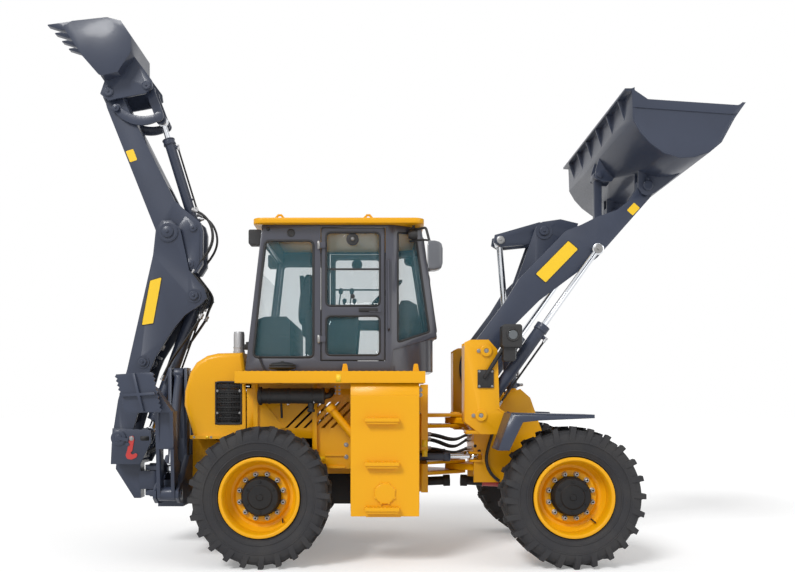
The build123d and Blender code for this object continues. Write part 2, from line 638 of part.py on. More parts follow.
with BuildPart() as station:
    # seat, its pedestal, side consoles with joysticks, dashboard and steering wheel
    block((-620, -240), (-180, 180), (1683, 1980))
    block((-680, -220), (-240, 240), (1980, 2090))
    plate([(-700, 2080), (-600, 2080), (-640, 2600), (-720, 2600)], -220, 220, corner=20)
    for side in (-1, 1):
        console = sorted((side * 300, side * 440))
        block((-640, -160), console, (1683, 2220))
        bar((-260, side * 370, 2220), (-240, side * 370, 2400), 16)
    plate([(180, 1900), (440, 1985), (380, 2290), (230, 2330), (190, 2250)], -200, 200, corner=20)
    bar((215, 0, 2270), (110, 0, 2400), 24)
    wheel_plane = Plane(origin=(100, 0, 2412), z_dir=(-105, 0, 130))
    with BuildSketch(wheel_plane) as ring:
        Circle(190)
        Circle(160, mode=Mode.SUBTRACT)
        Rectangle(330, 24)
        Circle(45)
    extrude(ring.sketch, amount=26)
save(station, "operator_station")

with BuildPart() as fittings:
    # mirrors on their arms, rear work lamps, beacon
    for side in (-1, 1):
        bent_tube([(300, side * 592, 2900), (430, side * 800, 2880), (470, side * 860, 2700)], 11, 40)
        mirror_span = sorted((side * 800, side * 940))
        low, high = mirror_span
        bulkhead([(low, 2500), (high, 2500), (high, 2740), (low, 2740)], 450, 490, corner=32)
        lamp = sorted((side * 560, side * 675))
        plate([(-1115, 2760), (-1017, 2760), (-1002, 2890), (-1115, 2890)], lamp[0], lamp[1], corner=14)
    # beacon
    upright((-620, -300), 42, CAB_TOP + 60, CAB_TOP + 78)
    upright((-620, -300), 34, CAB_TOP + 78, CAB_TOP + 108)
save(fittings, "cab_fittings")


# ---- Front frame ---------------------------------------------------------------------------
TOWER = [(775, 1205), (772, 1900), (824, 1924), (982, 1924), (1061, 1836), (1079, 1310), (1087, 1099), (912, 1099)]
FRAME_SIDE = [(900, 640), (900, 1300), (1120, 1430), (1330, 1500), (1420, 1420), (1560, 1020), (1860, 930),
              (1960, 820), (1860, 728), (1500, 728), (1300, 640)]
with BuildPart() as front_frame:
    pair_of_plates(FRAME_SIDE, 250, 290)
    block((900, 940), (-290, 290), (744, 1300))
    block((1260, 1300), (-250, 250), (1130, 1260))
    block((1540, 1720), (-290, 290), (880, 925))
    # pads on the front axle
    both_sides((FRONT_AXLE_X - 110, FRONT_AXLE_X + 110), (250, 420), (721, 790))
    # towers that carry the arms: outer and inner plates and a back plate
    pair_of_plates(TOWER, *TOWER_INNER)
    pair_of_plates(TOWER, *TOWER_OUTER)
    both_sides((773, 800), (TOWER_INNER[0] + 10, TOWER_OUTER[1] - 10), (1205, 1880))
    both_sides((790, 960), (TOWER_INNER[0] + 10, TOWER_OUTER[1] - 10), (1100, 1130))
    # brackets that carry the fenders
    pair_of_plates([(1060, 1320), (1180, 1240), (1180, 1130), (1070, 1105)], *TOWER_OUTER)
    # cross member from tower to tower
    block((900, 1040), (-450, 450), (1130, 1290))
    both_sides((860, 1090), (280, 490), (1099, 1130))
    # pins of the arms and of the lift cylinders' bases
    pair_of_pins(ARM_FOOT, 34, TOWER_INNER[0] - 8, TOWER_OUTER[1] + 10)
    pair_of_pins(LIFT_BASE, 28, TOWER_INNER[0] - 8, TOWER_OUTER[1] + 10)
    # ears and pin of the tilt cylinder's base
    pair_of_plates([(1190, 1290), (1235, 1475), (1275, 1510), (1315, 1510), (1355, 1475), (1385, 1240)], 70, 94)
    block((1180, 1390), (-255, 255), (1240, 1300))
    pin(TILT_BASE, 30, -104, 104)
    # articulation lugs between the rear frame's
    for z_low, z_high in ((744, 800), (1178, 1234)):
        deck([(905, -240), (905, 240), (PIVOT_X - 40, 90), (PIVOT_X - 95, 40), (PIVOT_X - 95, -40),
              (PIVOT_X - 40, -90)], z_low, z_high)
        upright((PIVOT_X, 0), 45 + PIN_FIT, z_low - 1, z_high + 1, Mode.SUBTRACT)
    # steering cylinder eyes: a pocket in the frame between two plates for each rod's eye
    both_sides((850, 975), (180, 330), (STEER_Z - 30, STEER_Z + 30), Mode.SUBTRACT)
    for side in (-1, 1):
        for z_low, z_high in ((STEER_Z - 46, STEER_Z - 28), (STEER_Z + 28, STEER_Z + 46)):
            deck([(870, side * 212), (858, side * 250), (870, side * 288), (905, side * 305), (960, side * 330),
                  (960, side * 180), (905, side * 195)], z_low, z_high)
save(front_frame, "front_frame")

with BuildPart() as fenders:
    for side in (-1, 1):
        span = sorted((side * 698, side * 1090))
        plate([(1010, 979), (1118, 1290), (1806, 1276), (1806, 1246), (1338, 1226), (1215, 1212), (1104, 979)],
              span[0], span[1])
save(fenders, "front_fenders")

with BuildPart() as lamps:
    for side in (-1, 1):
        bar((945, side * 722, 1590), (1110, side * 735, 1860), 18)
        block((886, 1026), sorted((side * 698, side * 711)), (1503, 1661))
        low, high = sorted((side * 690, side * 850))
        plate([(1080, 1850), (1080, 2045), (1250, 2045), (1250, 1850)], low, high, corner=24)
        low, high = sorted((side * 700, side * 820))
        plate([(1095, 1730), (1095, 1870), (1200, 1870), (1200, 1730)], low, high, corner=18)
save(lamps, "headlamps")


# ---- Loader --------------------------------------------------------------------------------
ARM_OUTLINE = [
    (870, 1760), (870, 1900), (1146, 2268), (1279, 2482), (1696, 2908), (1830, 2961), (1972, 3032),
    (2150, 3095), (2256, 3175), (2330, 3290), (2330, 3345), (2380, 3382), (2450, 3382), (2492, 3330),
    (2492, 3270), (2434, 3192), (1972, 2668), (1457, 2286), (1234, 2064), (1060, 1800), (1010, 1740), (920, 1730),
]
CRANK_CARRIER = [(1309, 2484), (1498, 3020), (1560, 3075), (1734, 3100), (1900, 3060), (1850, 2900), (1760, 2640),
                 (1600, 2480)]
CROSS_TUBE = (1560, 2600)
with BuildPart() as arms:
    pair_of_plates(ARM_OUTLINE, ARM_Y - ARM_HALF, ARM_Y + ARM_HALF)
    # long bearing at the foot, stub that the lift cylinder's eye stands beside
    pair_of_pins(ARM_FOOT, 64, TOWER_INNER[1] + GAP, TOWER_OUTER[0] - GAP)
    pair_of_pins(ARM_FOOT, 34 + PIN_FIT, TOWER_INNER[0], TOWER_OUTER[1], Mode.SUBTRACT)
    pair_of_pins(LIFT_EYE, 46, ARM_Y, LIFT_Y - 24 - GAP)
    pair_of_pins(ARM_TIP, 32 + PIN_FIT, ARM_Y - ARM_HALF - 5, ARM_Y + ARM_HALF + 5, Mode.SUBTRACT)
    pin(CROSS_TUBE, 95, -ARM_Y, ARM_Y)
    pair_of_plates(CRANK_CARRIER, 114, 138)
    pair_of_pins(CRANK_PIVOT, 34, 60, 150)
save(arms, "loader_arms")

with BuildPart() as crank:
    outline = [(1110, 2890), (1120, 2960), (1175, 2975), (1540, 3080), (1640, 3065), (2160, 2905), (2172, 2850),
               (2110, 2800), (1620, 2890), (1180, 2845)]
    pair_of_plates(outline, 74, 102)
    pin(CRANK_PIVOT, 75, -102, 102)
    pin(CRANK_PIVOT, 34 + PIN_FIT, -110, 110, Mode.SUBTRACT)
    pair_of_pins(CRANK_REAR, 48, 70, 108)
    pair_of_pins(CRANK_FRONT, 48, 70, 108)
save(crank, "bell_crank")

with BuildPart() as link:
    dx, dz = LINK_ON_BUCKET[0] - CRANK_FRONT[0], LINK_ON_BUCKET[1] - CRANK_FRONT[1]
    length = hypot(dx, dz)
    side_points = [along(CRANK_FRONT, LINK_ON_BUCKET, d, s) for d, s in ((0, 34), (length, 34), (length, -34), (0, -34))]
    plate(side_points, -34, 34)
    for centre in (CRANK_FRONT, LINK_ON_BUCKET):
        pin(centre, 50, -64, 64)
        pin(centre, 30 + PIN_FIT, -70, 70, Mode.SUBTRACT)
save(link, "tilt_link")

SHELL_OUTER = [(3032, 3835), (2942, 3705), (2835, 3508), (2737, 3426), (2614, 3385), (2491, 3377), (2360, 3416),
               (2246, 3500), (2164, 3590), (2107, 3688), (2098, 3950)]
SHELL_INNER = [(2122, 3960), (2131, 3695), (2184, 3606), (2262, 3520), (2368, 3441), (2491, 3402), (2611, 3410),
               (2722, 3448), (2816, 3522), (2921, 3716), (3003, 3835)]
BUCKET_SIDE = [(2098, 3950), (2229, 3860), (2966, 3811), (3032, 3835), (2942, 3705), (2835, 3508), (2737, 3426),
               (2614, 3385), (2491, 3377), (2360, 3416), (2246, 3500), (2164, 3590), (2107, 3688)]
BUCKET_HALF = 1136.0
with BuildPart() as bucket:
    plate(SHELL_OUTER + SHELL_INNER, -BUCKET_HALF + 5, BUCKET_HALF - 5)
    pair_of_plates(BUCKET_SIDE, BUCKET_HALF - 26, BUCKET_HALF - 8)
    # thicker edge of the side plates, along the mouth
    pair_of_plates([(2098, 3950), (2229, 3860), (2966, 3811), (3032, 3835), (2966, 3742), (2903, 3738),
                    (2106, 3795)], BUCKET_HALF - 9, BUCKET_HALF)
    # ears for the arm tips, on both sides of each arm
    for low, high in ((ARM_Y - ARM_HALF - GAP - 24, ARM_Y - ARM_HALF - GAP),
                      (ARM_Y + ARM_HALF + GAP, ARM_Y + ARM_HALF + GAP + 24)):
        pair_of_plates([(2330, 3440), (2330, 3290), (2360, 3230), (2410, 3212), (2470, 3235), (2560, 3300),
                        (2700, 3412), (2600, 3386), (2491, 3378), (2400, 3402)], low, high)
    pair_of_pins(ARM_TIP, 32, ARM_Y - 80, ARM_Y + 80)
    # ears for the tilt link
    pair_of_plates([(2070, 3500), (2080, 3590), (2110, 3690), (2170, 3592), (2250, 3502), (2230, 3470),
                    (2140, 3465)], 70, 94)
    pin(LINK_ON_BUCKET, 30, -104, 104)
    # lip at the back of the mouth
    plate([(2100, 3950), (2042, 3950), (2042, 3932), (2100, 3928)], -BUCKET_HALF + 5, BUCKET_HALF - 5)
    for number in range(6):
        y = -900 + 360 * number
        plate([(2100, 3935), (2050, 3935), (2052, 3915), (2106, 3760)], y - 7, y + 7)
save(bucket, "loader_bucket")

cylinder(LIFT_ROWS, "lift_cylinder_barrels", "lift_cylinder_rods")
cylinder(TILT_ROWS, "tilt_cylinder_barrel", "tilt_cylinder_rod")


# ---- Backhoe -------------------------------------------------------------------------------
POST_CHEEK = [(-2460, 1135), (-2476, 800), (-2204, 800), (-2100, 1005), (-2100, 1115), (-2330, 1130)]
POST_STEM = [(-2470, 812), (-2476, 745), (-2300, 468), (-2238, 468), (-2238, 812)]
LUG_Z = ((494.0, 550.0), (735.0, 780.0))   # the frame's swing lugs, below and above the hub
with BuildPart() as post:
    # cheeks on both sides of the boom's foot, and the narrow stem that swings past the lugs
    pair_of_plates(POST_CHEEK, 182, 208)
    plate(POST_STEM, -64, 64)
    block((-2462, -2214), (-182, 182), (800, 830))
    plate([(-2440, 800), (-2300, 800), (-2300, 860), (-2430, 860)], -182, 182)
    # hub between the lugs
    block((-2245, SWING_X), (-88, 88), (LUG_Z[0][1] + GAP, LUG_Z[1][0] - GAP))
    upright((SWING_X, 0), 88, LUG_Z[0][1] + GAP, LUG_Z[1][0] - GAP)
    upright((SWING_X, 0), 45 + PIN_FIT, 540, 745, Mode.SUBTRACT)
    pair_of_pins(BOOM_FOOT, 36, 110, 225)
    # ears for the boom cylinder's rod
    pair_of_plates([(-2240, 860), (-2225, 1130), (-2120, 1130), (-2110, 1040), (-2205, 860)], 48, 72)
    block((-2240, -2205), (-182, 182), (850, 900))
    pair_of_pins(BOOM_CYL_EYE, 46, 44, 182)
    pair_of_pins((-2160, 1060), 20, 72, 182)
save(post, "swing_post")

BOOM_SIDE = [
    (-2467, 1100), (-2420, 1399), (-2336, 1680), (-2092, 2757), (-2066, 3000), (-2010, 3080), (-1925, 3085),
    (-1840, 3010), (-1755, 2617), (-1610, 2440), (-1586, 2354), (-1640, 2300), (-1792, 2195), (-1886, 2083),
    (-1980, 1942), (-2073, 1792), (-2120, 1680), (-2280, 1118), (-2310, 985), (-2400, 950), (-2455, 985),
]
BOOM_BOX = [(-2400, 1180), (-2410, 1399), (-2326, 1680), (-2100, 2640), (-2045, 2640), (-2285, 1640), (-2240, 1600),
            (-2260, 1450), (-2330, 1180)]
with BuildPart() as boom:
    pair_of_plates(BOOM_SIDE, 144, 170)
    plate(BOOM_BOX, -144, 144)
    # doublers round the pins
    for centre, radius in ((BOOM_FOOT, 78), (BOOM_CYL_BASE, 66), (DIPPER_CYL_BASE, 60)):
        pair_of_pins(centre, radius, 169, 178)
    pair_of_pins(BOOM_FOOT, 36 + PIN_FIT, 140, 180, Mode.SUBTRACT)
    pair_of_pins(BOOM_HEAD, 95, 144, 182)
    pin(BOOM_HEAD, 38, -190, 190)
    # ears inside for the two cylinders' bases, tied across
    pair_of_pins(BOOM_CYL_BASE, 70, 66, 150)
    pin(BOOM_CYL_BASE, 32, -185, 185)
    pair_of_pins(DIPPER_CYL_BASE, 62, 66, 150)
    pin(DIPPER_CYL_BASE, 28, -185, 185)
save(boom, "boom")

DIPPER_SIDE = [
    (-2574, 4250), (-2546, 4190), (-2536, 4150), (-2075, 2990), (-2040, 2890), (-1960, 2865), (-1850, 2760), (-1800, 2620), (-1750, 2585),
    (-1690, 2600), (-1640, 2680), (-1635, 2990), (-1658, 3073), (-1809, 3195), (-1903, 3280), (-2223, 3920),
    (-2350, 4160), (-2440, 4340), (-2500, 4365), (-2560, 4330),
]
TAIL_DOUBLER = [(-1930, 2900), (-1840, 2780), (-1775, 2640), (-1735, 2612), (-1700, 2626), (-1664, 2690), (-1660, 2980),
                (-1690, 3060), (-1800, 3130)]
with BuildPart() as dipper:
    plate(DIPPER_SIDE, -132, 132)
    # tail opened between its plates for the two cylinders
    plate([(-1930, 2560), (-1930, 2860), (-1905, 3000), (-1905, 3180), (-2040, 3420), (-1500, 3420), (-1500, 2560)],
          -72, 72, Mode.SUBTRACT)
    pair_of_plates(TAIL_DOUBLER, 131, 138)
    pin(BOOM_HEAD, 70, -132, 132)
    pin(BOOM_HEAD, 38 + PIN_FIT, -140, 140, Mode.SUBTRACT)
    pin(HOE_CYL_BASE, 26, -145, 145)
    pair_of_pins(HOE_CYL_BASE, 50, 56, 72)
    pair_of_pins(DIPPER_CYL_EYE, 50, 50, 140)
    pin(HOE_BUCKET_PIN, 34 + PIN_FIT, -140, 140, Mode.SUBTRACT)
    pin(GUIDE_PIN, 24, -175, 175)
save(dipper, "dipper")

with BuildPart() as guides:
    mid = along(GUIDE_PIN, GUIDE_END, 200, -70)
    for low, high in ((139, 159), (-159, -139)):
        with BuildSketch(Plane.XZ.offset(-high)) as face:
            with BuildLine():
                ThreePointArc(along(GUIDE_PIN, GUIDE_END, 0, 42), along(GUIDE_PIN, GUIDE_END, 200, -30),
                              along(GUIDE_PIN, GUIDE_END, 402, 42))
                Line(along(GUIDE_PIN, GUIDE_END, 402, 42), along(GUIDE_PIN, GUIDE_END, 402, -42))
                ThreePointArc(along(GUIDE_PIN, GUIDE_END, 402, -42), along(GUIDE_PIN, GUIDE_END, 200, -115),
                              along(GUIDE_PIN, GUIDE_END, 0, -42))
                Line(along(GUIDE_PIN, GUIDE_END, 0, -42), along(GUIDE_PIN, GUIDE_END, 0, 42))
            make_face()
        extrude(face.sketch, amount=high - low)
    for centre in (GUIDE_PIN, GUIDE_END):
        pair_of_pins(centre, 44, 139, 159)
    pair_of_pins(GUIDE_PIN, 24 + PIN_FIT, 130, 180, Mode.SUBTRACT)
    pair_of_pins(GUIDE_END, 26, 52, 159)
save(guides, "guide_links")

with BuildPart() as push:
    reach = hypot(LINK_ON_HOE[0] - GUIDE_END[0], LINK_ON_HOE[1] - GUIDE_END[1])
    shape = [along(GUIDE_END, LINK_ON_HOE, d, s) for d, s in ((0, 42), (reach, 42), (reach, -42), (0, -42))]
    pair_of_plates(shape, 62, 92)
    for centre in (GUIDE_END, LINK_ON_HOE):
        pair_of_pins(centre, 50, 62, 92)
    pair_of_pins(GUIDE_END, 26 + PIN_FIT, 55, 100, Mode.SUBTRACT)
    block((LINK_ON_HOE[0] + 20, LINK_ON_HOE[0] + 50), (-62, 62), (LINK_ON_HOE[1] - 160, LINK_ON_HOE[1] - 110))
save(push, "push_link")

HOE_OUTER = [(-2884, 4834), (-2802, 4886), (-2479, 4921), (-2350, 4889), (-2258, 4751), (-2258, 4603),
             (-2378, 4419), (-2530, 4385)]
HOE_INNER = [(-2545, 4405), (-2388, 4440), (-2280, 4610), (-2280, 4744), (-2362, 4870), (-2482, 4899),
             (-2800, 4865), (-2872, 4818)]
HOE_SIDE = HOE_OUTER + [(-2560, 4400), (-2700, 4560)]
HOE_HALF = 310.0
with BuildPart() as hoe:
    plate(HOE_OUTER + HOE_INNER, -HOE_HALF + 3, HOE_HALF - 3)
    pair_of_plates(HOE_SIDE, HOE_HALF - 18, HOE_HALF)
    # hinge ears
    pair_of_plates([(-2580, 4260), (-2500, 4195), (-2430, 4215), (-2160, 4265), (-2090, 4320), (-2100, 4390),
                    (-2262, 4610), (-2300, 4600), (-2380, 4425), (-2535, 4392)], 168, 192)
    pin(HOE_BUCKET_PIN, 34, -200, 200)
    pair_of_pins(LINK_ON_HOE, 30, 108, 200)
    # teeth on the lip
    for number in range(4):
        y = -255 + 170 * number
        plate([(-2790, 4895), (-2870, 4815), (-2905, 4812), (-3031, 4852), (-3031, 4862), (-2900, 4880)],
              y - 32, y + 32)
save(hoe, "backhoe_bucket")

cylinder(BOOM_CYL_ROWS, "boom_cylinder_barrel", "boom_cylinder_rod")
cylinder(DIPPER_CYL_ROWS, "dipper_cylinder_barrel", "dipper_cylinder_rod")
cylinder(HOE_CYL_ROWS, "bucket_cylinder_barrel", "bucket_cylinder_rod")


# ---- Stabilizers ---------------------------------------------------------------------------
PAD_CORNERS = ((-2165.0, 1611.0), (-1868.0, 1627.0), (-1796.0, 1295.0), (-2084.0, 1287.0))
PAD_TEETH = 9


def serrated_pad():
    """Pad outline from the side: plain top and bottom, teeth along the two other edges."""
    top_back, top_front, low_front, low_back = PAD_CORNERS
    outline = [top_back]
    for start, end in ((top_front, low_front), (low_back, top_back)):
        length = hypot(end[0] - start[0], end[1] - start[1])
        pitch = length / PAD_TEETH
        outline += [along(start, end, pitch * (0.5 * half), 16.0 if half % 2 else 0.0) for half in range(2 * PAD_TEETH)]
        outline.append(end)
    return outline[:-1]


def stabilizer(side):
    """Leg folded up beside the swing post, leaning back, with its pad facing out."""
    with BuildPart() as leg:
        top_x = -1990
        for x_low, x_high in ((-1866, -1836), (-1744, -1714)):
            bulkhead([(side * (LEG_HINGE_Y - 60), LEG_HINGE_Z - 40), (side * LEG_HINGE_Y, LEG_HINGE_Z - 62),
                      (side * (LEG_HINGE_Y + 60), LEG_HINGE_Z - 30), (side * (LEG_HINGE_Y + 125), 1300),
                      (side * (LEG_HINGE_Y - 25), 1300)], x_low, x_high)
        bar((-1866, side * LEG_HINGE_Y, LEG_HINGE_Z), (-1714, side * LEG_HINGE_Y, LEG_HINGE_Z), 60)
        bar((-1870, side * LEG_HINGE_Y, LEG_HINGE_Z), (-1710, side * LEG_HINGE_Y, LEG_HINGE_Z), 34 + PIN_FIT,
            Mode.SUBTRACT)
        # ears that the cylinder's rod eye lies between
        for x_low, x_high in ((-1866, -1836), (-1744, -1714)):
            bulkhead([(side * 770, 730), (side * 665, 760), (side * 645, 800), (side * 665, 845), (side * 780, 900)],
                     x_low, x_high)
        span = sorted((side * (LEG_HINGE_Y + 70), side * (LEG_HINGE_Y + 100)))
        block((-1866, -1714), span, (980, 1300))
        # upper part, leaning back to the pad
        with BuildSketch(Plane.XY.offset(1290)) as low:
            with Locations((-1790, side * (LEG_HINGE_Y + 62))):
                Rectangle(152, 130)
        with BuildSketch(Plane.XY.offset(1500)) as high:
            with Locations((-1930, side * (LEG_HINGE_Y + 100))):
                Rectangle(150, 110)
        loft([low.sketch.face(), high.sketch.face()])
        # pad, upright, facing outwards
        pad = sorted((side * 990, side * 1010))
        plate(serrated_pad(), pad[0], pad[1])
        rib = sorted((side * 1009, side * 1040))
        plate([(-2026, 1616), (-2004, 1617), (-1928, 1302), (-1950, 1301)], rib[0], rib[1])
        plate([(-2118, 1446), (-1838, 1462), (-1834, 1440), (-2112, 1424)], rib[0], rib[1])
        arm_end = sorted((side * (LEG_HINGE_Y + 60), side * 992))
        block((-2010, -1860), arm_end, (1400, 1500))
    return leg


for leg_name, leg_side in (("right", -1), ("left", 1)):
    save(stabilizer(leg_side), f"{leg_name}_stabilizer_leg")
    rows = [((LEG_X, leg_side * LEG_CYL_Y, LEG_CYL_Z), (LEG_X, leg_side * LEG_EYE_Y, LEG_EYE_Z), X_AXIS, (40, 36),
             40, 24, 700, 26)]
    cylinder(rows, f"{leg_name}_stabilizer_barrel", f"{leg_name}_stabilizer_rod")
    rows = [((STEER_BASE[0], leg_side * STEER_BASE[1], STEER_Z), (STEER_EYE[0], leg_side * STEER_EYE[1], STEER_Z),
             Z_AXIS, (22, 22), 34, 18, 482, 20)]
    cylinder(rows, f"{leg_name}_steering_barrel", f"{leg_name}_steering_rod")
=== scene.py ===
import json
import math

import bmesh
import bpy
from mathutils import Matrix, Vector


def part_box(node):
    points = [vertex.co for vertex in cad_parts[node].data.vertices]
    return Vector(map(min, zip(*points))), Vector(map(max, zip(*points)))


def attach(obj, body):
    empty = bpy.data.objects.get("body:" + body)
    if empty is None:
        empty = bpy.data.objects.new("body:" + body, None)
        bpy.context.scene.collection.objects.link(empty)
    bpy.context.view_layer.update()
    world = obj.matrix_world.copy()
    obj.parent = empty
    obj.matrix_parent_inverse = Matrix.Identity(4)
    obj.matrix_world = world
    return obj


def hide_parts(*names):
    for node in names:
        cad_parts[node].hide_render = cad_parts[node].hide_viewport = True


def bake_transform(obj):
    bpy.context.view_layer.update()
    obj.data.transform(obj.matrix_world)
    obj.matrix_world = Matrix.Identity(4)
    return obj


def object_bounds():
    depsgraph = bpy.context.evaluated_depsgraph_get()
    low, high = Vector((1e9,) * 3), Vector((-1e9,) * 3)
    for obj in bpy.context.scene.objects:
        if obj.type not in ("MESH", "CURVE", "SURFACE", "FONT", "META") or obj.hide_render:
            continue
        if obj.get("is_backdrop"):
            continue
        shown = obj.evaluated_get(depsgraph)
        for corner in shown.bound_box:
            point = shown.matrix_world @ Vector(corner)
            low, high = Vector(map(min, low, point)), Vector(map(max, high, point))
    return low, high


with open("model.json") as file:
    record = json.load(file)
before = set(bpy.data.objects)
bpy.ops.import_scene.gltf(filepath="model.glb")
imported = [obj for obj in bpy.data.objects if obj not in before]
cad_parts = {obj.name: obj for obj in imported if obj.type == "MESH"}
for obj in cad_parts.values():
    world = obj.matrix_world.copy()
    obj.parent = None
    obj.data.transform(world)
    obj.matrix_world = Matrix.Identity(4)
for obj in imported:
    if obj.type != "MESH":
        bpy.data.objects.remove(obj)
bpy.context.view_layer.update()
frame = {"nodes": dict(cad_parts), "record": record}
N = frame["nodes"]
scene = bpy.context.scene
V = Vector


# ---- shader nodes
def fill(tree, node, values):
    """Sets each named socket: links it to the output given for it, or gives it the number or colour."""
    for key, value in values.items():
        if isinstance(value, bpy.types.NodeSocket):
            tree.links.new(value, node.inputs[key])
        else:
            node.inputs[key].default_value = value


def add(tree, kind, values, **settings):
    """New shader node with its settings, such as a Math node's operation, and its sockets' values."""
    node = tree.nodes.new("ShaderNode" + kind)
    for key, value in settings.items():
        setattr(node, key, value)
    fill(tree, node, values)
    return node


def maths(tree, operation, a, b):
    return add(tree, "Math", {0: a, 1: b}, operation=operation).outputs[0]


def mixed(tree, a, b, factor):
    return add(tree, "Mix", {"A": a, "B": b, "Factor": factor}, data_type="RGBA").outputs["Result"]


def noise(tree, scale, detail):
    """Noise over the object's own coordinates."""
    place = add(tree, "TexCoord", {}).outputs["Object"]
    return add(tree, "TexNoise", {"Scale": scale, "Detail": detail, "Vector": place}).outputs["Fac"]


def ramp(tree, value, low, high):
    """0 below low, 1 above high."""
    node = add(tree, "ValToRGB", {"Fac": value})
    node.color_ramp.elements[0].position = low
    node.color_ramp.elements[1].position = high
    return node.outputs["Color"]


def scaled(tree, value, low, high):
    return add(tree, "MapRange", {"To Min": low, "To Max": high, "Value": value}).outputs["Result"]


def seen_rays(tree):
    """1 for what the camera sees, also in a reflection or through glass, and 0 for the light on the object."""
    rays = add(tree, "LightPath", {}).outputs
    mirrored = maths(tree, "MAXIMUM", rays["Is Glossy Ray"], rays["Is Transmission Ray"])
    return maths(tree, "MAXIMUM", rays["Is Camera Ray"], mirrored)


# ---- materials
FINE = 22             # how much finer the orange peel is than the broad tone changes
PEEL_DEPTH = 0.004


def srgb(r, g, b):
    """Linear RGBA of a colour written as 0-255 display values."""
    return tuple(((c / 255 + 0.055) / 1.055) ** 2.4 if c > 10 else c / 255 / 12.92 for c in (r, g, b)) + (1.0,)


def shader(name):
    m = bpy.data.materials.new(name)
    m.use_nodes = True
    return m, m.node_tree, m.node_tree.nodes["Principled BSDF"]


def paint(name, rgb, rough=0.32, metal=0.0, coat=0.5, grime=0.25, grime_rgb=(60, 55, 48), scale=3.0, bump=0.004,
          wear=0.0, wear_rgb=(120, 120, 118), spec=0.5):
    """Painted or bare surface: broad tone changes, dust in patches, fine orange peel, worn edges."""
    m, t, bsdf = shader(name)
    fine = noise(t, scale * FINE, 4)
    dust = maths(t, "MULTIPLY", ramp(t, noise(t, scale, 6), 0.38, 0.75), grime)
    colour = mixed(t, srgb(*rgb), srgb(*grime_rgb), dust)
    if wear:
        edges = ramp(t, add(t, "NewGeometry", {}).outputs["Pointiness"], 0.57, 0.72)
        chips = maths(t, "MULTIPLY", edges, maths(t, "GREATER_THAN", fine, 0.5))
        colour = mixed(t, colour, srgb(*wear_rgb), maths(t, "MULTIPLY", chips, wear))
    fill(t, bsdf, {"Metallic": metal, "Coat Weight": coat, "Coat Roughness": 0.12, "Specular IOR Level": spec,
                   "Base Color": colour, "Roughness": scaled(t, fine, rough * 0.85, min(1.0, rough * 1.35))})
    if bump:
        peel = add(t, "Bump", {"Strength": bump, "Distance": PEEL_DEPTH, "Height": fine})
        fill(t, bsdf, {"Normal": peel.outputs["Normal"]})
    return m


def glass(name, rgb):
    """Thin tinted pane, a little uneven in its tint."""
    m, t, bsdf = shader(name)
    tint = mixed(t, srgb(*rgb), srgb(*[min(255, int(c * 1.05)) for c in rgb]), noise(t, 1.4, 2))
    fill(t, bsdf, {"Alpha": 0.17, "IOR": 1.45, "Roughness": 0.04, "Coat Weight": 1.0, "Base Color": tint})
    return m


YELLOW = paint("yellow_paint", (228, 163, 5), rough=0.36, coat=0.12, spec=0.28, grime=0.1,
               grime_rgb=(212, 146, 14), wear=0.1, wear_rgb=(150, 110, 40))
SLATE = paint("slate_paint", (52, 59, 76), rough=0.36, coat=0.15, spec=0.35, grime=0.3, grime_rgb=(40, 45, 58),
              wear=0.12, wear_rgb=(120, 124, 132))
DARKSLATE = paint("dark_slate_paint", (92, 94, 100), rough=0.36, grime=0.35, grime_rgb=(44, 46, 54), wear=0.3,
                  wear_rgb=(140, 142, 146))
CAB = paint("cab_paint", (56, 58, 70), rough=0.34, grime_rgb=(52, 47, 52), wear=0.1)
BLACK = paint("black_plastic", (30, 30, 32), rough=0.55, coat=0.0, grime=0.4, grime_rgb=(48, 47, 46), bump=0.12)
IRON = paint("dark_iron", (27, 27, 29), rough=0.5, coat=0.0, metal=0.2, grime=0.5, grime_rgb=(46, 43, 40),
             spec=0.3, bump=0.1)
RUBBER = paint("tyre_rubber", (46, 46, 49), rough=0.72, coat=0.0, grime=0.45, grime_rgb=(66, 64, 62), scale=6,
               bump=0.25, spec=0.35)
HOSE = paint("hose_rubber", (26, 26, 28), rough=0.45, coat=0.0, grime=0.3, grime_rgb=(50, 48, 46), scale=8,
             bump=0.1)
CHROME = paint("chrome_rod", (214, 217, 222), rough=0.12, metal=1.0, coat=0.0, grime=0.15,
               grime_rgb=(160, 160, 160), bump=0.0)
STEEL = paint("bare_steel", (150, 150, 150), rough=0.35, metal=0.9, coat=0.0, grime=0.4, grime_rgb=(105, 100, 94),
              bump=0.05)
RED = paint("red_paint", (190, 34, 28), rough=0.35, grime=0.2, grime_rgb=(120, 30, 26), wear=0.3)
SILVER = paint("silver_paint", (176, 176, 178), rough=0.35, metal=0.6, coat=0.2, grime=0.2,
               grime_rgb=(130, 128, 124))
SEAT = paint("seat_vinyl", (44, 46, 50), rough=0.5, coat=0.0, grime=0.2, scale=8, bump=0.2)
ORANGE = paint("amber_lens", (235, 96, 20), rough=0.15, coat=0.6, grime=0.05, bump=0.0)
SMOKED = paint("smoked_lens", (86, 92, 97), rough=0.1, coat=0.8, grime=0.1, bump=0.03)
LENS = paint("lamp_lens", (205, 212, 216), rough=0.12, coat=0.8, grime=0.1, grime_rgb=(150, 156, 160), bump=0.06)
STICKER = paint("yellow_sticker", (240, 196, 14), rough=0.4, coat=0.3, grime=0.05, grime_rgb=(200, 170, 30),
                bump=0.0)
GLASS = glass("tinted_glass", (64, 122, 136))

by_slot = {"yellow_paint": YELLOW, "slate_paint": SLATE, "cab_paint": CAB, "tyre_rubber": RUBBER,
           "chrome_rod": CHROME, "tinted_glass": GLASS, "black_plastic": BLACK, "dark_iron": IRON}
slot_of = {s["node"]: s["material_slot"] for s in frame["record"]["subparts"]}
own = {"cab_roof": YELLOW}


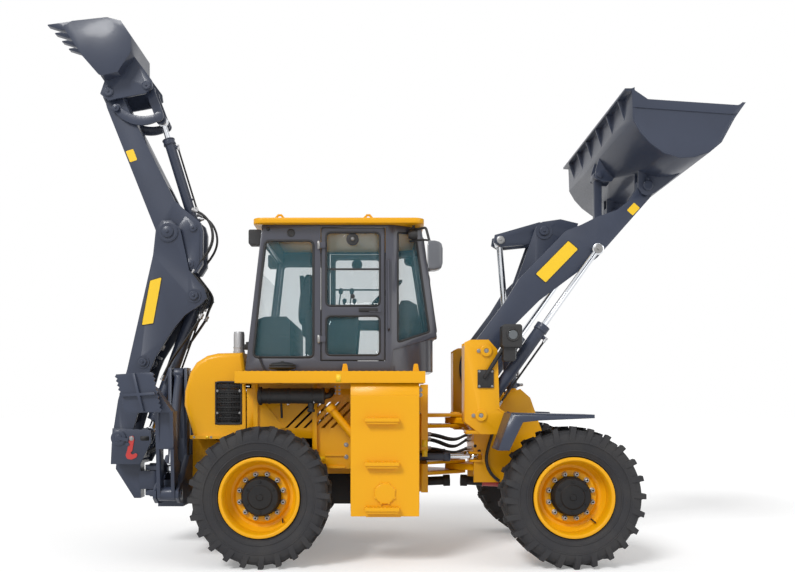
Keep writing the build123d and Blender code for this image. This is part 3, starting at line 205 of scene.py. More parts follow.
def dress(o, material, bevel, segments=2, angle=32):
    """Material, smooth shading and rounded edges for an object."""
    o.data.materials.clear()
    o.data.materials.append(material)
    for p in o.data.polygons:
        p.use_smooth = True
    if bevel:
        b = o.modifiers.new("round", "BEVEL")
        b.width = bevel
        b.segments = segments
        b.limit_method = "ANGLE"
        b.angle_limit = math.radians(angle)
        b.use_clamp_overlap = True
        b.harden_normals = True


for name, o in N.items():
    o.modifiers.new("weld", "WELD").merge_threshold = 0.00002
    fine_form = name.endswith(("_tyre", "_glass", "_rod", "_rods"))
    dress(o, own.get(name, by_slot[slot_of[name]]), 0.0015 if fine_form else 0.0035, 1 if fine_form else 2, 35)


CORNERS = 5           # how square a pad's outline is: 2 is round


def bead(radius, height, wide, high, steps):
    """Oval section of a ring, as (radius, height) points for lathe."""
    turns = [math.pi * 2 * i / steps for i in range(steps)]
    return [(radius + wide * math.cos(t), height + high * math.sin(t)) for t in turns]


class Shape:
    """Collects turned, cut and bent forms in one mesh, in metres in the machine's frame."""

    def __init__(self):
        self.bm = bmesh.new()

    def tube(self, a, b, r0, r1=None, sides=20):
        a, b = V(a), V(b)
        run = b - a
        place = Matrix.Translation((a + b) / 2) @ run.to_track_quat("Z", "Y").to_matrix().to_4x4()
        bmesh.ops.create_cone(self.bm, cap_ends=True, segments=sides, radius1=r0, radius2=r0 if r1 is None else r1,
                              depth=run.length, matrix=place)

    def box(self, lo, hi):
        lo, hi = V(lo), V(hi)
        size = Matrix.Diagonal((*[abs(c) for c in hi - lo], 1.0))
        bmesh.ops.create_cube(self.bm, size=1.0, matrix=Matrix.Translation((lo + hi) / 2) @ size)

    def sweep(self, section, ends):
        """Flat outline carried from its first place to its second: both are lists of points."""
        first = [self.bm.verts.new(p) for p in section]
        second = [self.bm.verts.new(p) for p in ends]
        count = len(first)
        faces = [self.bm.faces.new(first), self.bm.faces.new(second[::-1])]
        for i in range(count):
            j = (i + 1) % count
            faces.append(self.bm.faces.new((first[j], first[i], second[i], second[j])))
        bmesh.ops.recalc_face_normals(self.bm, faces=faces)

    def plate(self, outline, y0, y1):
        """(x, z) outline between two y values."""
        self.sweep([(x, y0, z) for x, z in outline], [(x, y1, z) for x, z in outline])

    def lathe(self, centre, axis, profile, sides=40):
        """Closed form turned about an axis from (radius, height) points."""
        turn = V(axis).to_track_quat("Z", "Y").to_matrix().to_4x4()
        place = Matrix.Translation(centre) @ turn
        rows = []
        for radius, height in profile:
            if radius < 1e-6:
                rows.append([self.bm.verts.new(place @ V((0, 0, height)))] * sides)
                continue
            angles = [2 * math.pi * i / sides for i in range(sides)]
            rows.append([self.bm.verts.new(place @ V((radius * math.cos(a), radius * math.sin(a), height)))
                         for a in angles])
        made = []
        for low, high in zip(rows, rows[1:] + rows[:1]):
            for i in range(sides):
                j = (i + 1) % sides
                corners = list(dict.fromkeys((low[i], low[j], high[j], high[i])))
                if len(corners) > 2:
                    made.append(self.bm.faces.new(corners))
        bmesh.ops.recalc_face_normals(self.bm, faces=made)

    def knob(self, centre, axis, profile, sides=40):
        """Solid turned form, its profile closed on the axis at both ends."""
        self.lathe(centre, axis, [(0, profile[0][1]), *profile, (0, profile[-1][1])], sides)

    def bolt(self, at, axis, r=0.012, h=0.01):
        """Washer and hexagon head with its corners turned off."""
        at, axis = V(at), V(axis).normalized()
        self.tube(at, at + axis * h * 0.25, r * 1.35, sides=16)
        self.tube(at + axis * h * 0.25, at + axis * h * 0.85, r, sides=6)
        self.tube(at + axis * h * 0.85, at + axis * h, r, r * 0.8, sides=6)

    def pin(self, at, axis, r, rim, height, bolt_r, bolt_h):
        """Cap of a pivot pin, with the bolt that holds it."""
        self.knob(at, axis, [(r, 0), (r, 0.006), (rim, height)], 32)
        self.bolt(V(at) + V(axis) * height, axis, bolt_r, bolt_h)

    def pad(self, centre, size, crown, turn=None):
        """Crowned pad: a round-cornered form whose sides pull in between its corners."""
        place = Matrix.Translation(centre) @ (turn or Matrix.Identity(4))
        for v in bmesh.ops.create_uvsphere(self.bm, u_segments=48, v_segments=32, radius=1.0)["verts"]:
            c = v.co.normalized()
            c *= (abs(c.x) ** CORNERS + abs(c.y) ** CORNERS + abs(c.z) ** 3) ** (-1 / CORNERS)
            c.z *= 1 + crown * (1 - min(1, c.x ** 2)) * (1 - min(1, c.y ** 2))
            pull = 1 - 0.03 * (1 - c.z ** 2)
            v.co = place @ V((c.x * size[0] / 2 * pull, c.y * size[1] / 2 * pull, c.z * size[2] / 2))

    def done(self, name, material, body, bevel=0.0015):
        mesh = bpy.data.meshes.new(name)
        self.bm.to_mesh(mesh)
        self.bm.free()
        return adopt(name, mesh, material, body, bevel)


def adopt(name, mesh, material, body, bevel=0.0):
    """Puts a mesh in the scene as a named piece that rides on a body."""
    o = bpy.data.objects.new(name, mesh)
    scene.collection.objects.link(o)
    dress(o, material, bevel)
    if body:
        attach(o, body)
    return o


def bent(points, radius, closed=False, order=4, sides=3):
    """Mesh of a smooth tube along a few control points."""
    data = bpy.data.curves.new("bent", "CURVE")
    data.dimensions = "3D"
    spline = data.splines.new("NURBS" if order else "POLY")
    spline.points.add(len(points) - 1)
    for p, co in zip(spline.points, points):
        p.co = (*co, 1.0)
    if order:
        spline.order_u = order
        spline.use_endpoint_u = not closed
    spline.use_cyclic_u = closed
    spline.resolution_u = 8
    data.bevel_depth = radius
    data.bevel_resolution = sides
    data.use_fill_caps = True
    o = bpy.data.objects.new("bent", data)
    scene.collection.objects.link(o)
    mesh = bpy.data.meshes.new_from_object(o.evaluated_get(bpy.context.evaluated_depsgraph_get()))
    bpy.data.objects.remove(o)
    return mesh


def joined(name, meshes):
    bm = bmesh.new()
    for part in meshes:
        bm.from_mesh(part)
    mesh = bpy.data.meshes.new(name)
    bm.to_mesh(mesh)
    bm.free()
    return mesh


def hoses(name, runs, radius, body, blend=None, material=HOSE, order=4):
    """Several fixed hydraulic lines as one piece; blend, as (body, body, start, end), is given where they cross a
    joint: such a piece rides on no body, and the tuple's values are not used.
    """
    o = adopt(name, joined(name, [bent(run, radius, order=order) for run in runs]), material,
              None if blend else body)
    if blend:
        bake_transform(o)
    return o


def fittings(name, places, radius, body):
    """Swaged ferrule and hexagon nut at each hose end: (point, direction) places."""
    s = Shape()
    for at, way in places:
        at, way = V(at), V(way).normalized()
        s.tube(at, at + way * radius * 3.2, radius * 1.35)
        s.tube(at + way * radius * 3.2, at + way * radius * 3.8, radius * 1.1)
        s.tube(at - way * radius * 1.6, at, radius * 1.75, sides=6)
    return s.done(name, SILVER, body, 0.001)


def rect(u0, v0, u1, v1):
    return [(u0, v0), (u1, v0), (u1, v1), (u0, v1)]


def rounded(outline, radius, steps=5):
    """Outline of (u, v) points with arcs at its corners."""
    out = []
    count = len(outline)
    for i, corner in enumerate(outline):
        c, a, b = V(corner), V(outline[i - 1]), V(outline[(i + 1) % count])
        to_a, to_b = (a - c).normalized(), (b - c).normalized()
        half = to_a.angle(to_b) / 2
        back = min(radius / math.tan(half), (a - c).length * 0.49, (b - c).length * 0.49)
        p, q = c + to_a * back, c + to_b * back
        for k in range(steps + 1):
            t = k / steps
            out.append(tuple((1 - t) ** 2 * p + 2 * t * (1 - t) * c + t * t * q))
    return out


def seal(name, outline, place, body, radius=0.008, corner=0.045):
    """Rubber moulding round a pane: place turns (u, v) into a point."""
    ring = [place(*p) for p in rounded(outline, corner)]
    adopt(name, bent(ring, radius, closed=True, order=0, sides=2), BLACK, body)


SIDES = (("right", -1), ("left", 1))
REAR, FRONT = "rear_body", "front_body"

# ---- wheels
# measures from the tyre's middle: radii, and heights towards the outside
NUTS, NUT_CIRCLE, NUT_SEAT = 12, 0.19, 0.02
HUB_BOLTS, HUB_CIRCLE = 6, 0.126
HUB_COVER = [(0.092, 0.108), (0.1, 0.0945), (0.152, 0.0945), (0.152, 0.106), (0.146, 0.112), (0.106, 0.114),
             (0.094, 0.126), (0.03, 0.128), (0.024, 0.136)]
SIDEWALL_RINGS = ((0.352, 0.158), (0.392, 0.183), (0.462, 0.2035))
LUGS, LUG_CROWN = 48, 0.5845          # shoulder lugs of one tyre, left and right in turn
LUG_SECTION = [(0.15, 0.556), (0.15, LUG_CROWN), (0.1985, LUG_CROWN), (0.2085, 0.548), (0.2085, 0.492),
               (0.2045, 0.466), (0.196, 0.47), (0.188, 0.53)]  # (height, radius)
LUG_EDGES = ((-0.008, 0.1), (0.036, 0.16))  # each flank's place along the tread, and its slant
VALVE_ANGLE = -48

for end in ("front", "rear"):
    for hand, s in SIDES:
        wheel, body = f"{end}_{hand}", f"{end}_{hand}_wheel_body"
        lo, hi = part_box(f"{wheel}_tyre")
        centre = (V(lo) + V(hi)) / 2
        out = V((0, s, 0))

        def around(r, deg, height):
            """Point at a radius, an angle and a height over the tyre's middle."""
            a = math.radians(deg)
            return centre + V((r * math.cos(a), s * height, r * math.sin(a)))

        nuts, cover = Shape(), Shape()
        for k in range(NUTS):
            at = around(NUT_CIRCLE, 15 + 360 / NUTS * k, NUT_SEAT)
            nuts.lathe(at, out, [(0.009, 0.0), (0.024, 0.0), (0.024, 0.007), (0.018, 0.012), (0.018, 0.03),
                                 (0.014, 0.034), (0.009, 0.034)], 12)
            cover.tube(at + out * 0.001, at + out * 0.026, 0.0088, sides=10)
        nuts.done(f"{wheel}_wheel_nuts", SILVER, body, 0.001)
        for k in range(HUB_BOLTS):
            cover.bolt(around(HUB_CIRCLE, 30 + 360 / HUB_BOLTS * k, 0.113), out, 0.009, 0.01)
        cover.knob(centre, out, HUB_COVER, 64)
        cover.done(f"{wheel}_hub_cover", IRON, body, 0.001)
        rings = Shape()
        for r, height in SIDEWALL_RINGS:
            rings.lathe(centre, out, bead(r, height, 0.007, 0.004, 8), 96)
        rings.done(f"{wheel}_sidewall_rings", RUBBER, body, 0)
        lugs = Shape()
        for number in range(LUGS):
            way = V((0, 1 if number % 2 else -1, 0))
            a = math.radians(360 / LUGS * number)
            radial, along = V((math.sin(a), 0, math.cos(a))), V((-math.cos(a), 0, math.sin(a)))
            flanks = []
            for flank, lean in LUG_EDGES:
                flanks.append([tuple(centre + way * height + radial * r + along * (flank + lean * (LUG_CROWN - r)))
                               for height, r in LUG_SECTION])
            lugs.sweep(*flanks)
        lugs.done(f"{wheel}_shoulder_lugs", RUBBER, body, 0.003)
        stem = around(0.262, VALVE_ANGLE, 0.01)
        hoses(f"{wheel}_valve", [[stem, stem + out * 0.03, around(0.275, VALVE_ANGLE, 0.08),
                                  around(0.285, VALVE_ANGLE, 0.11)]], 0.006, body)

# ---- hood grilles
HOOD_SIDE = 0.619

for hand, s in SIDES:
    y = s * HOOD_SIDE
    mesh = Shape()
    for k in range(25):
        z = 1.196 + 0.0146 * k
        mesh.box((-1.408, y - 0.003, z), (-1.192, y + 0.003, z + 0.005))
    for k in range(15):
        x = -1.405 + 0.015 * k
        mesh.box((x, y - 0.002, 1.19), (x + 0.004, y + 0.004, 1.556))
    mesh.done(f"{hand}_grille_mesh", BLACK, REAR, 0)
    seal(f"{hand}_grille_edge", [(-1.412, 1.186), (-1.412, 1.558), (-1.188, 1.558), (-1.188, 1.186)],
         lambda u, v: (u, y + s * 0.003, v), REAR, 0.007, 0.03)
    bolts = Shape()
    for x, z in ((-1.399, 1.283), (-1.399, 1.477), (-1.201, 1.283), (-1.201, 1.477)):
        bolts.bolt((x, s * (HOOD_SIDE + 0.005), z), (0, s, 0), 0.008, 0.007)
    for x, z in ((-1.6, 1.07), (-1.45, 1.07), (-1.2, 1.07)):
        bolts.bolt((x, s * 0.64, z), (0, s, 0), 0.008, 0.007)
    bolts.done(f"{hand}_hood_bolts", STEEL, REAR, 0.0006)

# ---- tanks: flush face, treads that stand proud
TREAD_TOPS = (1.246, 0.879, 0.503)
COVER_X, COVER_Z, COVER_CIRCLE = 0.077, 0.615, 0.086

for hand, s in SIDES:
    skin = Shape()
    section = [(0.926, 0.424), (1.003, 0.424), (1.004, 1.43), (0.9985, 1.436), (0.9985, 0.505)]
    skin.sweep([(-0.209, s * y, z) for y, z in section], [(0.363, s * y, z) for y, z in section])
    skin.done(f"{hand}_tank_face", YELLOW, REAR, 0.003)
    steps = Shape()
    for top in TREAD_TOPS:
        low = top - 0.03
        steps.box((-0.09, s * 1.002, low), (0.197, s * 1.07, top))
        steps.box((-0.078, s * 1.002, low - 0.02), (0.185, s * 1.058, low))
        for k in range(9):
            x = -0.078 + 0.0315 * k
            steps.tube((x, s * 1.006, top + 0.001), (x, s * 1.066, top + 0.001), 0.006, sides=8)
    steps.done(f"{hand}_tank_steps", YELLOW, REAR, 0.004)
    cover = Shape()
    cover.lathe((COVER_X, s * 1.003, COVER_Z), (0, s, 0),
                [(0, 0), (0.088, 0), (0.088, 0.01), (0.08, 0.016), (0, 0.018)])
    for k in range(8):
        a = math.radians(22.5 + 45 * k)
        x, z = COVER_X + COVER_CIRCLE * math.cos(a), COVER_Z + COVER_CIRCLE * math.sin(a)
        cover.tube((x, s * 1.003, z), (x, s * 1.02, z), 0.012, 0.01, sides=12)
    cover.done(f"{hand}_tank_cover", YELLOW, REAR, 0.001)
    bolts = Shape()
    for x, z in ((0.386, 1.486), (0.386, 1.442), (-0.264, 1.002), (-0.264, 0.896)):
        y = 0.7 if x > 0 else 0.6
        if x > 0:
            bolts.tube((x, s * 0.64, z), (x, s * y, z), 0.012)
        bolts.bolt((x, s * y, z), (0, s, 0), 0.015, 0.014)
    for x in (-0.362, -0.324):
        for z in (1.456, 1.486, 1.516):
            bolts.bolt((x, s * 0.606, z), (0, s, 0), 0.008, 0.008)
    bolts.done(f"{hand}_side_bolts", STEEL, REAR, 0.0008)

plates = Shape()
for s in (-1, 1):
    for x0, x1, y, z0, z1 in ((-0.38, -0.306, 0.606, 1.438, 1.532), (-0.451, -0.27, 0.612, 0.795, 0.815),
                              (-0.451, -0.27, 0.612, 0.9, 0.918)):
        plates.box((x0, s * 0.598, z0), (x1, s * y, z1))
plates.done("side_panel_plates", YELLOW, REAR, 0.002)

stickers = Shape()
for low, high in (((-0.332, -1.0015, 1.548), (-0.29, -0.999, 1.612)),
                  ((-0.56, -0.6025, 0.858), (-0.45, -0.599, 0.898)),
                  ((-1.494, -0.6425, 1.06), (-1.47, -0.64, 1.082)),
                  ((0.416, -0.4225, 0.972), (0.464, -0.4195, 1.036)),
                  ((0.416, -0.4225, 0.885), (0.464, -0.4195, 0.95))):
    stickers.box(low, high)
stickers.done("blank_stickers", STICKER, REAR, 0)

# ---- platforms
PLATFORM_TOP, PLATFORM_LUGS, INTAKE = 1.637, (-0.267, 0.345), (-0.8, -0.83)

tread = Shape()
for s in (-1, 1):
    for row in range(5):
        for k in range(29):
            x = -1.15 + 0.0535 * k
            y = s * (0.725 + 0.055 * row)
            near_lug = row < 2 and any(abs(x - lug) < 0.05 for lug in PLATFORM_LUGS)
            if near_lug or math.hypot(x - INTAKE[0], y - INTAKE[1]) < 0.13:
                continue
            way = V((0.016, 0.01, 0)) if (row + k) % 2 else V((0.016, -0.01, 0))
            across = V((-way.y, way.x, 0)) * 0.3
            c = V((x, y, PLATFORM_TOP))
            low = [c - way, c + across, c + way, c - across]
            top = [c + (p - c) * 0.6 + V((0, 0, 0.005)) for p in low]
            tread.sweep([tuple(p) for p in low], [tuple(p) for p in top])
tread.done("platform_tread", YELLOW, REAR, 0)

# skirt that closes the gap below each platform
for hand, s in SIDES:
    skirt = Shape()
    skirt.box((-1.1, s * 0.598, 1.497), (-0.14, s * 0.61, 1.541))
    skirt.done(f"{hand}_platform_skirt", YELLOW, REAR, 0.002)

# ---- air cleaner, intake cap, exhaust
air = Shape()
for x in (-0.93, -0.76, -0.56):
    air.lathe((x, -0.76, 1.432), (1, 0, 0), [(0.066, 0), (0.07, 0.001), (0.07, 0.017), (0.066, 0.018)])
air.lathe((-0.985, -0.76, 1.432), (-1, 0, 0),
          [(0.06, 0), (0.078, 0), (0.078, 0.022), (0.06, 0.034), (0, 0.036), (0, 0)])
for k in range(16):
    a = 2 * math.pi * k / 16
    at = V((-0.985, -0.76 + 0.074 * math.cos(a), 1.432 + 0.074 * math.sin(a)))
    air.tube(at, at + V((-0.02, 0, 0)), 0.006, sides=8)
air.tube((-0.828, -0.69, 1.385), (-0.828, -0.64, 1.24), 0.01)
air.tube((-0.56, -0.76, 1.375), (-0.56, -0.76, 1.318), 0.03, 0.024)
air.knob((-0.56, -0.76, 1.318), (0, 0, -1), [(0.034, 0), (0.034, 0.018), (0.028, 0.026)])
air.tube((-0.45, -0.76, 1.432), (-0.432, -0.76, 1.432), 0.04, 0.03)
air.done("air_cleaner_details", BLACK, REAR, 0.001)
hoses("air_intake_hose", [[(-0.44, -0.76, 1.432), (-0.4, -0.758, 1.432), (-0.385, -0.73, 1.46),
                           (-0.385, -0.66, 1.48), (-0.385, -0.6, 1.48)]], 0.027, REAR)
clips = Shape()
clips.bolt((-0.56, -0.795, 1.395), (0, -1, 0), 0.009, 0.01)
clips.tube((-0.545, -0.8, 1.4), (-0.53, -0.8, 1.372), 0.006)
clips.bolt((-0.76, -0.765, 1.365), (0, 0, -1), 0.01, 0.012)
clips.done("air_cleaner_clips", SILVER, REAR, 0.0006)

dish = Shape()
dish.knob((*INTAKE, PLATFORM_TOP + 0.001), (0, 0, 1),
          [(0.05, 0), (0.05, 0.018), (0.1, 0.024), (0.118, 0.032), (0.118, 0.042), (0.108, 0.046), (0.108, 0.05),
           (0.114, 0.052), (0.114, 0.06), (0.09, 0.074), (0.05, 0.082), (0.014, 0.085), (0.012, 0.094)], 64)
dish.tube((-1.02, -0.712, 1.77), (-0.967, -0.712, 1.64), 0.006)
dish.lathe((-1.02, -0.712, 1.77), (0.38, 0, -0.92),
           [(0, -0.016), (0.01, -0.012), (0.015, 0), (0.01, 0.012), (0, 0.016)], 16)
dish.done("intake_cap_and_lever", BLACK, REAR, 0.0008)

stack = Shape()
stack.lathe((-1.24, -0.43, 0), (0, 0, 1),
            [(0.0465, 1.822), (0.052, 1.822), (0.052, 1.84), (0.0485, 1.842), (0.0485, 1.865), (0.052, 1.867),
             (0.052, 1.876), (0.0485, 1.878), (0.0485, 1.99), (0.044, 2.014), (0.031, 2.014), (0.031, 2.0112),
             (0.04, 2.0105), (0.0345, 1.998), (0.0345, 1.948), (0.0465, 1.941)], 40)
stack.done("exhaust_sleeve", SILVER, REAR, 0.0006)

# ---- cab: mouldings, handles, lamps, mirrors
CAB_SIDE = 0.679              # y of the side wall
REAR_WINDOW = [(-1.075, 1.772), (-0.968, 2.79), (-0.548, 2.79), (-0.548, 1.772)]
DOOR_TOP = [(-0.436, 2.222), (-0.436, 2.862), (0.034, 2.862), (0.034, 2.222)]
DOOR_LOW = [(-0.436, 1.79), (-0.436, 2.132), (0.034, 2.132), (0.034, 1.79)]
for hand, s in SIDES:
    def side_wall(u, v):
        return (u, s * CAB_SIDE, v)

    seal(f"{hand}_rear_window_seal", REAR_WINDOW, side_wall, REAR, 0.01)
    door = f"{hand}_door_body"
    seal(f"{hand}_door_upper_seal", DOOR_TOP, side_wall, door, 0.009)
    seal(f"{hand}_door_lower_seal", DOOR_LOW, side_wall, door, 0.009)
    seal(f"{hand}_door_edge", [(-0.476, 1.748), (-0.476, 2.902), (0.074, 2.902), (0.074, 1.748)], side_wall, door,
         0.004, 0.01)
    slide = Shape()
    slide.box((-0.434, s * 0.655, 2.536), (0.032, s * 0.669, 2.552))
    slide.knob((-0.205, s * 0.672, 2.806), (0, s, 0), [(0.055, -0.01), (0.055, 0), (0.04, 0.006)])
    slide.lathe((-0.205, s * 0.672, 2.306), (0, s, 0), [(0, -0.01), (0.02, -0.01), (0.02, 0.004), (0, 0.006)])
    for x0, x1, y0, y1, z0, z1 in ((-0.15, 0.01, 0.68, 0.688, 2.168, 2.2), (-0.146, 0, 0.706, 0.718, 2.174, 2.194),
                                   (-0.146, -0.13, 0.684, 0.71, 2.176, 2.192)):
        slide.box((x0, s * y0, z0), (x1, s * y1, z1))
    slide.knob((0.004, s * 0.686, 2.184), (0, s, 0), [(0.016, 0), (0.016, 0.026), (0.01, 0.032)], 20)
    slide.done(f"{hand}_door_latch", BLACK, door, 0.002)
    knob = Shape()
    knob.lathe((-0.205, s * 0.678, 2.806), (0, s, 0),
               [(0, 0), (0.016, 0), (0.018, 0.008), (0.01, 0.018), (0, 0.02)], 20)
    for z in (1.905, 2.725):
        knob.knob((-0.5, s * 0.7, z - 0.012), (0, 0, 1),
                  [(0.009, 0), (0.014, 0.008), (0.014, 0.064), (0.009, 0.072)], 20)
    knob.done(f"{hand}_hinge_pins", STEEL, door, 0.0006)
    hoses(f"{hand}_grab_rail", [[(0.108, s * 0.68, 2.622), (0.108, s * 0.722, 2.62), (0.108, s * 0.722, 2.59),
                                 (0.112, s * 0.722, 2.05), (0.112, s * 0.722, 2.012), (0.112, s * 0.68, 2.01)]],
          0.011, REAR, material=CAB, order=3)
    vents = Shape()
    vents.knob((-0.743, s * CAB_SIDE, 2.858), (0, s, 0),
               [(0.036, 0), (0.036, 0.006), (0.026, 0.01), (0.02, 0.006)], 32)
    vents.lathe((-0.944, s * CAB_SIDE, 2.893), (0, s, 0),
                [(0, 0), (0.016, 0), (0.016, 0.006), (0.01, 0.014), (0, 0.016)], 20)
    vents.done(f"{hand}_cab_vent", BLACK, REAR, 0.0006)
    # corner pane moulding, on the slanted wall
    foot, nose = V((0.14, s * 0.68, 0)), V((0.549, s * 0.45, 0))
    out = V((0.23, s * 0.409, 0)).normalized()

    def slanted(u, v):
        return tuple(foot + (nose - foot) * ((u - foot.x) / (nose.x - foot.x)) - out * 0.001 + V((0, 0, v)))

    seal(f"{hand}_corner_seal", [(0.192, 1.905), (0.192, 2.87), (0.352, 2.87), (0.478, 2.01)], slanted, REAR, 0.01,
         0.02)
    # mirror: bulged back shell, its glass to the rear
    shell = Shape()
    ring = rounded(rect(0.795, 2.496, 0.945, 2.746), 0.035)
    mid = V((0.87, 2.621))
    layers = []
    for x, grow in ((0.446, 0.98), (0.446, 1.0), (0.5, 1.0), (0.535, 0.93), (0.556, 0.8), (0.566, 0.55)):
        layers.append([shell.bm.verts.new((x, s * (mid.x + (u - mid.x) * grow), mid.y + (v - mid.y) * grow))
                       for u, v in ring])
    faces = [shell.bm.faces.new(layers[0]), shell.bm.faces.new(layers[-1][::-1])]
    for low, high in zip(layers, layers[1:]):
        for i in range(len(low)):
            j = (i + 1) % len(low)
            faces.append(shell.bm.faces.new((low[j], low[i], high[i], high[j])))
    bmesh.ops.recalc_face_normals(shell.bm, faces=faces)
    shell.done(f"{hand}_mirror_shell", DARKSLATE, REAR, 0.002)
    pane = rounded(rect(0.808, 2.51, 0.932, 2.732), 0.028)
    glass_pane = Shape()
    glass_pane.sweep([(0.4455, s * u, v) for u, v in pane], [(0.443, s * u, v) for u, v in pane])
    glass_pane.done(f"{hand}_mirror_glass", CHROME, REAR, 0.0005)
    hoses(f"{hand}_mirror_bracket", [[(0.3, s * 0.6, 2.8), (0.42, s * 0.73, 2.795), (0.466, s * 0.83, 2.77),
                                      (0.47, s * 0.862, 2.74)]], 0.009, REAR, material=BLACK)
    # work lamps: rear ones get lenses, front ones hang under the roof's corners
    lamp = Shape()
    lamp.lathe((0.335, s * 0.648, 2.85), (1, 0, 0),
               [(0, -0.05), (0.03, -0.05), (0.046, -0.02), (0.05, 0.028), (0.044, 0.03), (0.042, 0.018),
                (0, 0.016)], 32)
    lamp.box((0.318, s * 0.64, 2.896), (0.342, s * 0.656, 2.932))
    lamp.done(f"{hand}_front_work_lamp", BLACK, REAR, 0.0008)
    lens = Shape()
    lens.lathe((0.352, s * 0.648, 2.85), (1, 0, 0), [(0, 0), (0.041, 0), (0.038, 0.005), (0, 0.01)], 32)
    wide = rounded(rect(0.572, 2.776, 0.663, 2.874), 0.012)
    narrow = rounded(rect(0.576, 2.78, 0.659, 2.87), 0.01)
    lens.sweep([(-1.1155, s * u, v) for u, v in wide], [(-1.1195, s * u, v) for u, v in narrow])
    lens.done(f"{hand}_work_lamp_lenses", LENS, REAR, 0.0005)
    # headlamps of the loader towers
    lens, glare = Shape(), Shape()
    face = rounded(rect(0.705, 1.868, 0.835, 2.028), 0.022)
    small = rounded(rect(0.712, 1.744, 0.808, 1.856), 0.016)
    for ring, x, y, z, grow in ((face, 1.249, 0.77, 1.948, 0.96), (small, 1.199, 0.76, 1.8, 0.95)):
        lens.sweep([(x, s * u, v) for u, v in ring],
                   [(x + 0.005, s * (y + (u - y) * grow), z + (v - z) * grow) for u, v in ring])
    glare.lathe((1.172, s * 0.849, 1.955), (0, s, 0), [(0, 0), (0.042, 0), (0.038, 0.005), (0, 0.008)], 40)
    lens.done(f"{hand}_headlamp_lenses", LENS, FRONT, 0.0005)
    glare.done(f"{hand}_side_lens", SMOKED, FRONT, 0.0005)
    bezel = Shape()
    bezel.lathe((1.172, s * 0.849, 1.955), (0, s, 0),
                [(0.043, 0), (0.058, 0), (0.058, 0.006), (0.052, 0.011), (0.043, 0.009)], 40)
    bezel.box((1.1, s * 0.74, 1.836), (1.13, s * 0.8, 1.89))
    bezel.done(f"{hand}_headlamp_bezel", BLACK, FRONT, 0.001)

# foot of the cab's nose, tapered so that the loader's towers swing past it
nose = Shape()
plan = [(0.12, 0.67), (0.345, 0.556), (0.48, 0.368), (0.52, 0.29)]
plan = plan + [(x, -y) for x, y in plan[::-1]]


def under_cab(x):
    """Height of the nose's sloping underside, where the foot ends inside it."""
    return 1.841 + max(0.0, x - 0.15) * 0.3308


nose.sweep([(x, y, 1.652) for x, y in plan], [(x, y, under_cab(x)) for x, y in plan])
nose.done("cab_nose_foot", CAB, REAR, 0.004)

# windscreen moulding, wiper, beacon
def screen(u, v, off=0.002):
    """Point on the leaning windscreen."""
    return (0.405 + (2.93 - v) * 0.144 / 0.963 + off, u, v)


seal("windscreen_seal", [(-0.4, 2.02), (0.4, 2.02), (0.462, 2.86), (-0.462, 2.86)], screen, REAR, 0.011, 0.03)
seal("rear_screen_seal", rect(-0.56, 1.9, 0.56, 2.8), lambda u, v: (-1.145 + (v - 1.64) * 0.1155 - 0.001, u, v),
     REAR, 0.01, 0.02)
wiper = Shape()
wiper.knob(screen(-0.1, 1.99, 0.0), (1, 0, 0.15), [(0.022, 0), (0.022, 0.016), (0.014, 0.024)], 24)
wiper.tube(screen(-0.1, 1.99, 0.02), screen(-0.24, 2.48, 0.022), 0.007, 0.004, 10)
blade = [screen(-0.33, 2.24, 0.012), screen(-0.17, 2.73, 0.012)]
wiper.tube(blade[0], blade[1], 0.006, sides=8)
wiper.box(V(screen(-0.24, 2.48, 0.014)) - V((0.008, 0.014, 0.03)),
          V(screen(-0.24, 2.48, 0.014)) + V((0.01, 0.014, 0.03)))
wiper.done("wiper", BLACK, REAR, 0.0006)
beacon = Shape()
beacon.lathe((-0.62, -0.3, 2.93), (0, 0, 1),
             [(0, 0.078), (0.041, 0.078), (0.041, 0.084), (0.038, 0.09), (0.038, 0.104), (0.034, 0.112),
              (0.02, 0.118), (0, 0.12)], 40)
beacon.done("beacon_lens", ORANGE, REAR, 0.0006)

# ---- operator's place
pads = Shape()
pads.pad((-0.45, 0, 2.048), (0.45, 0.47, 0.11), 0.3)
for s in (-1, 1):
    pads.pad((-0.45, s * 0.205, 2.064), (0.42, 0.075, 0.09), 0.15)
cushion = pads.done("seat_cushion", SEAT, REAR, 0)
lean = Matrix.Rotation(math.radians(-82), 4, "Y")
pads = Shape()
pads.pad((-0.665, 0, 2.35), (0.49, 0.44, 0.105), 0.28, lean)
for s in (-1, 1):
    pads.pad((-0.65, s * 0.19, 2.34), (0.43, 0.07, 0.1), 0.12, lean)
back = pads.done("seat_back", SEAT, REAR, 0)
piping = [[(-0.655, s * 0.165, 2.082), (-0.45, s * 0.168, 2.108), (-0.25, s * 0.165, 2.084)] for s in (-1, 1)]
hoses("seat_piping", piping, 0.004, REAR, material=BLACK, order=3)

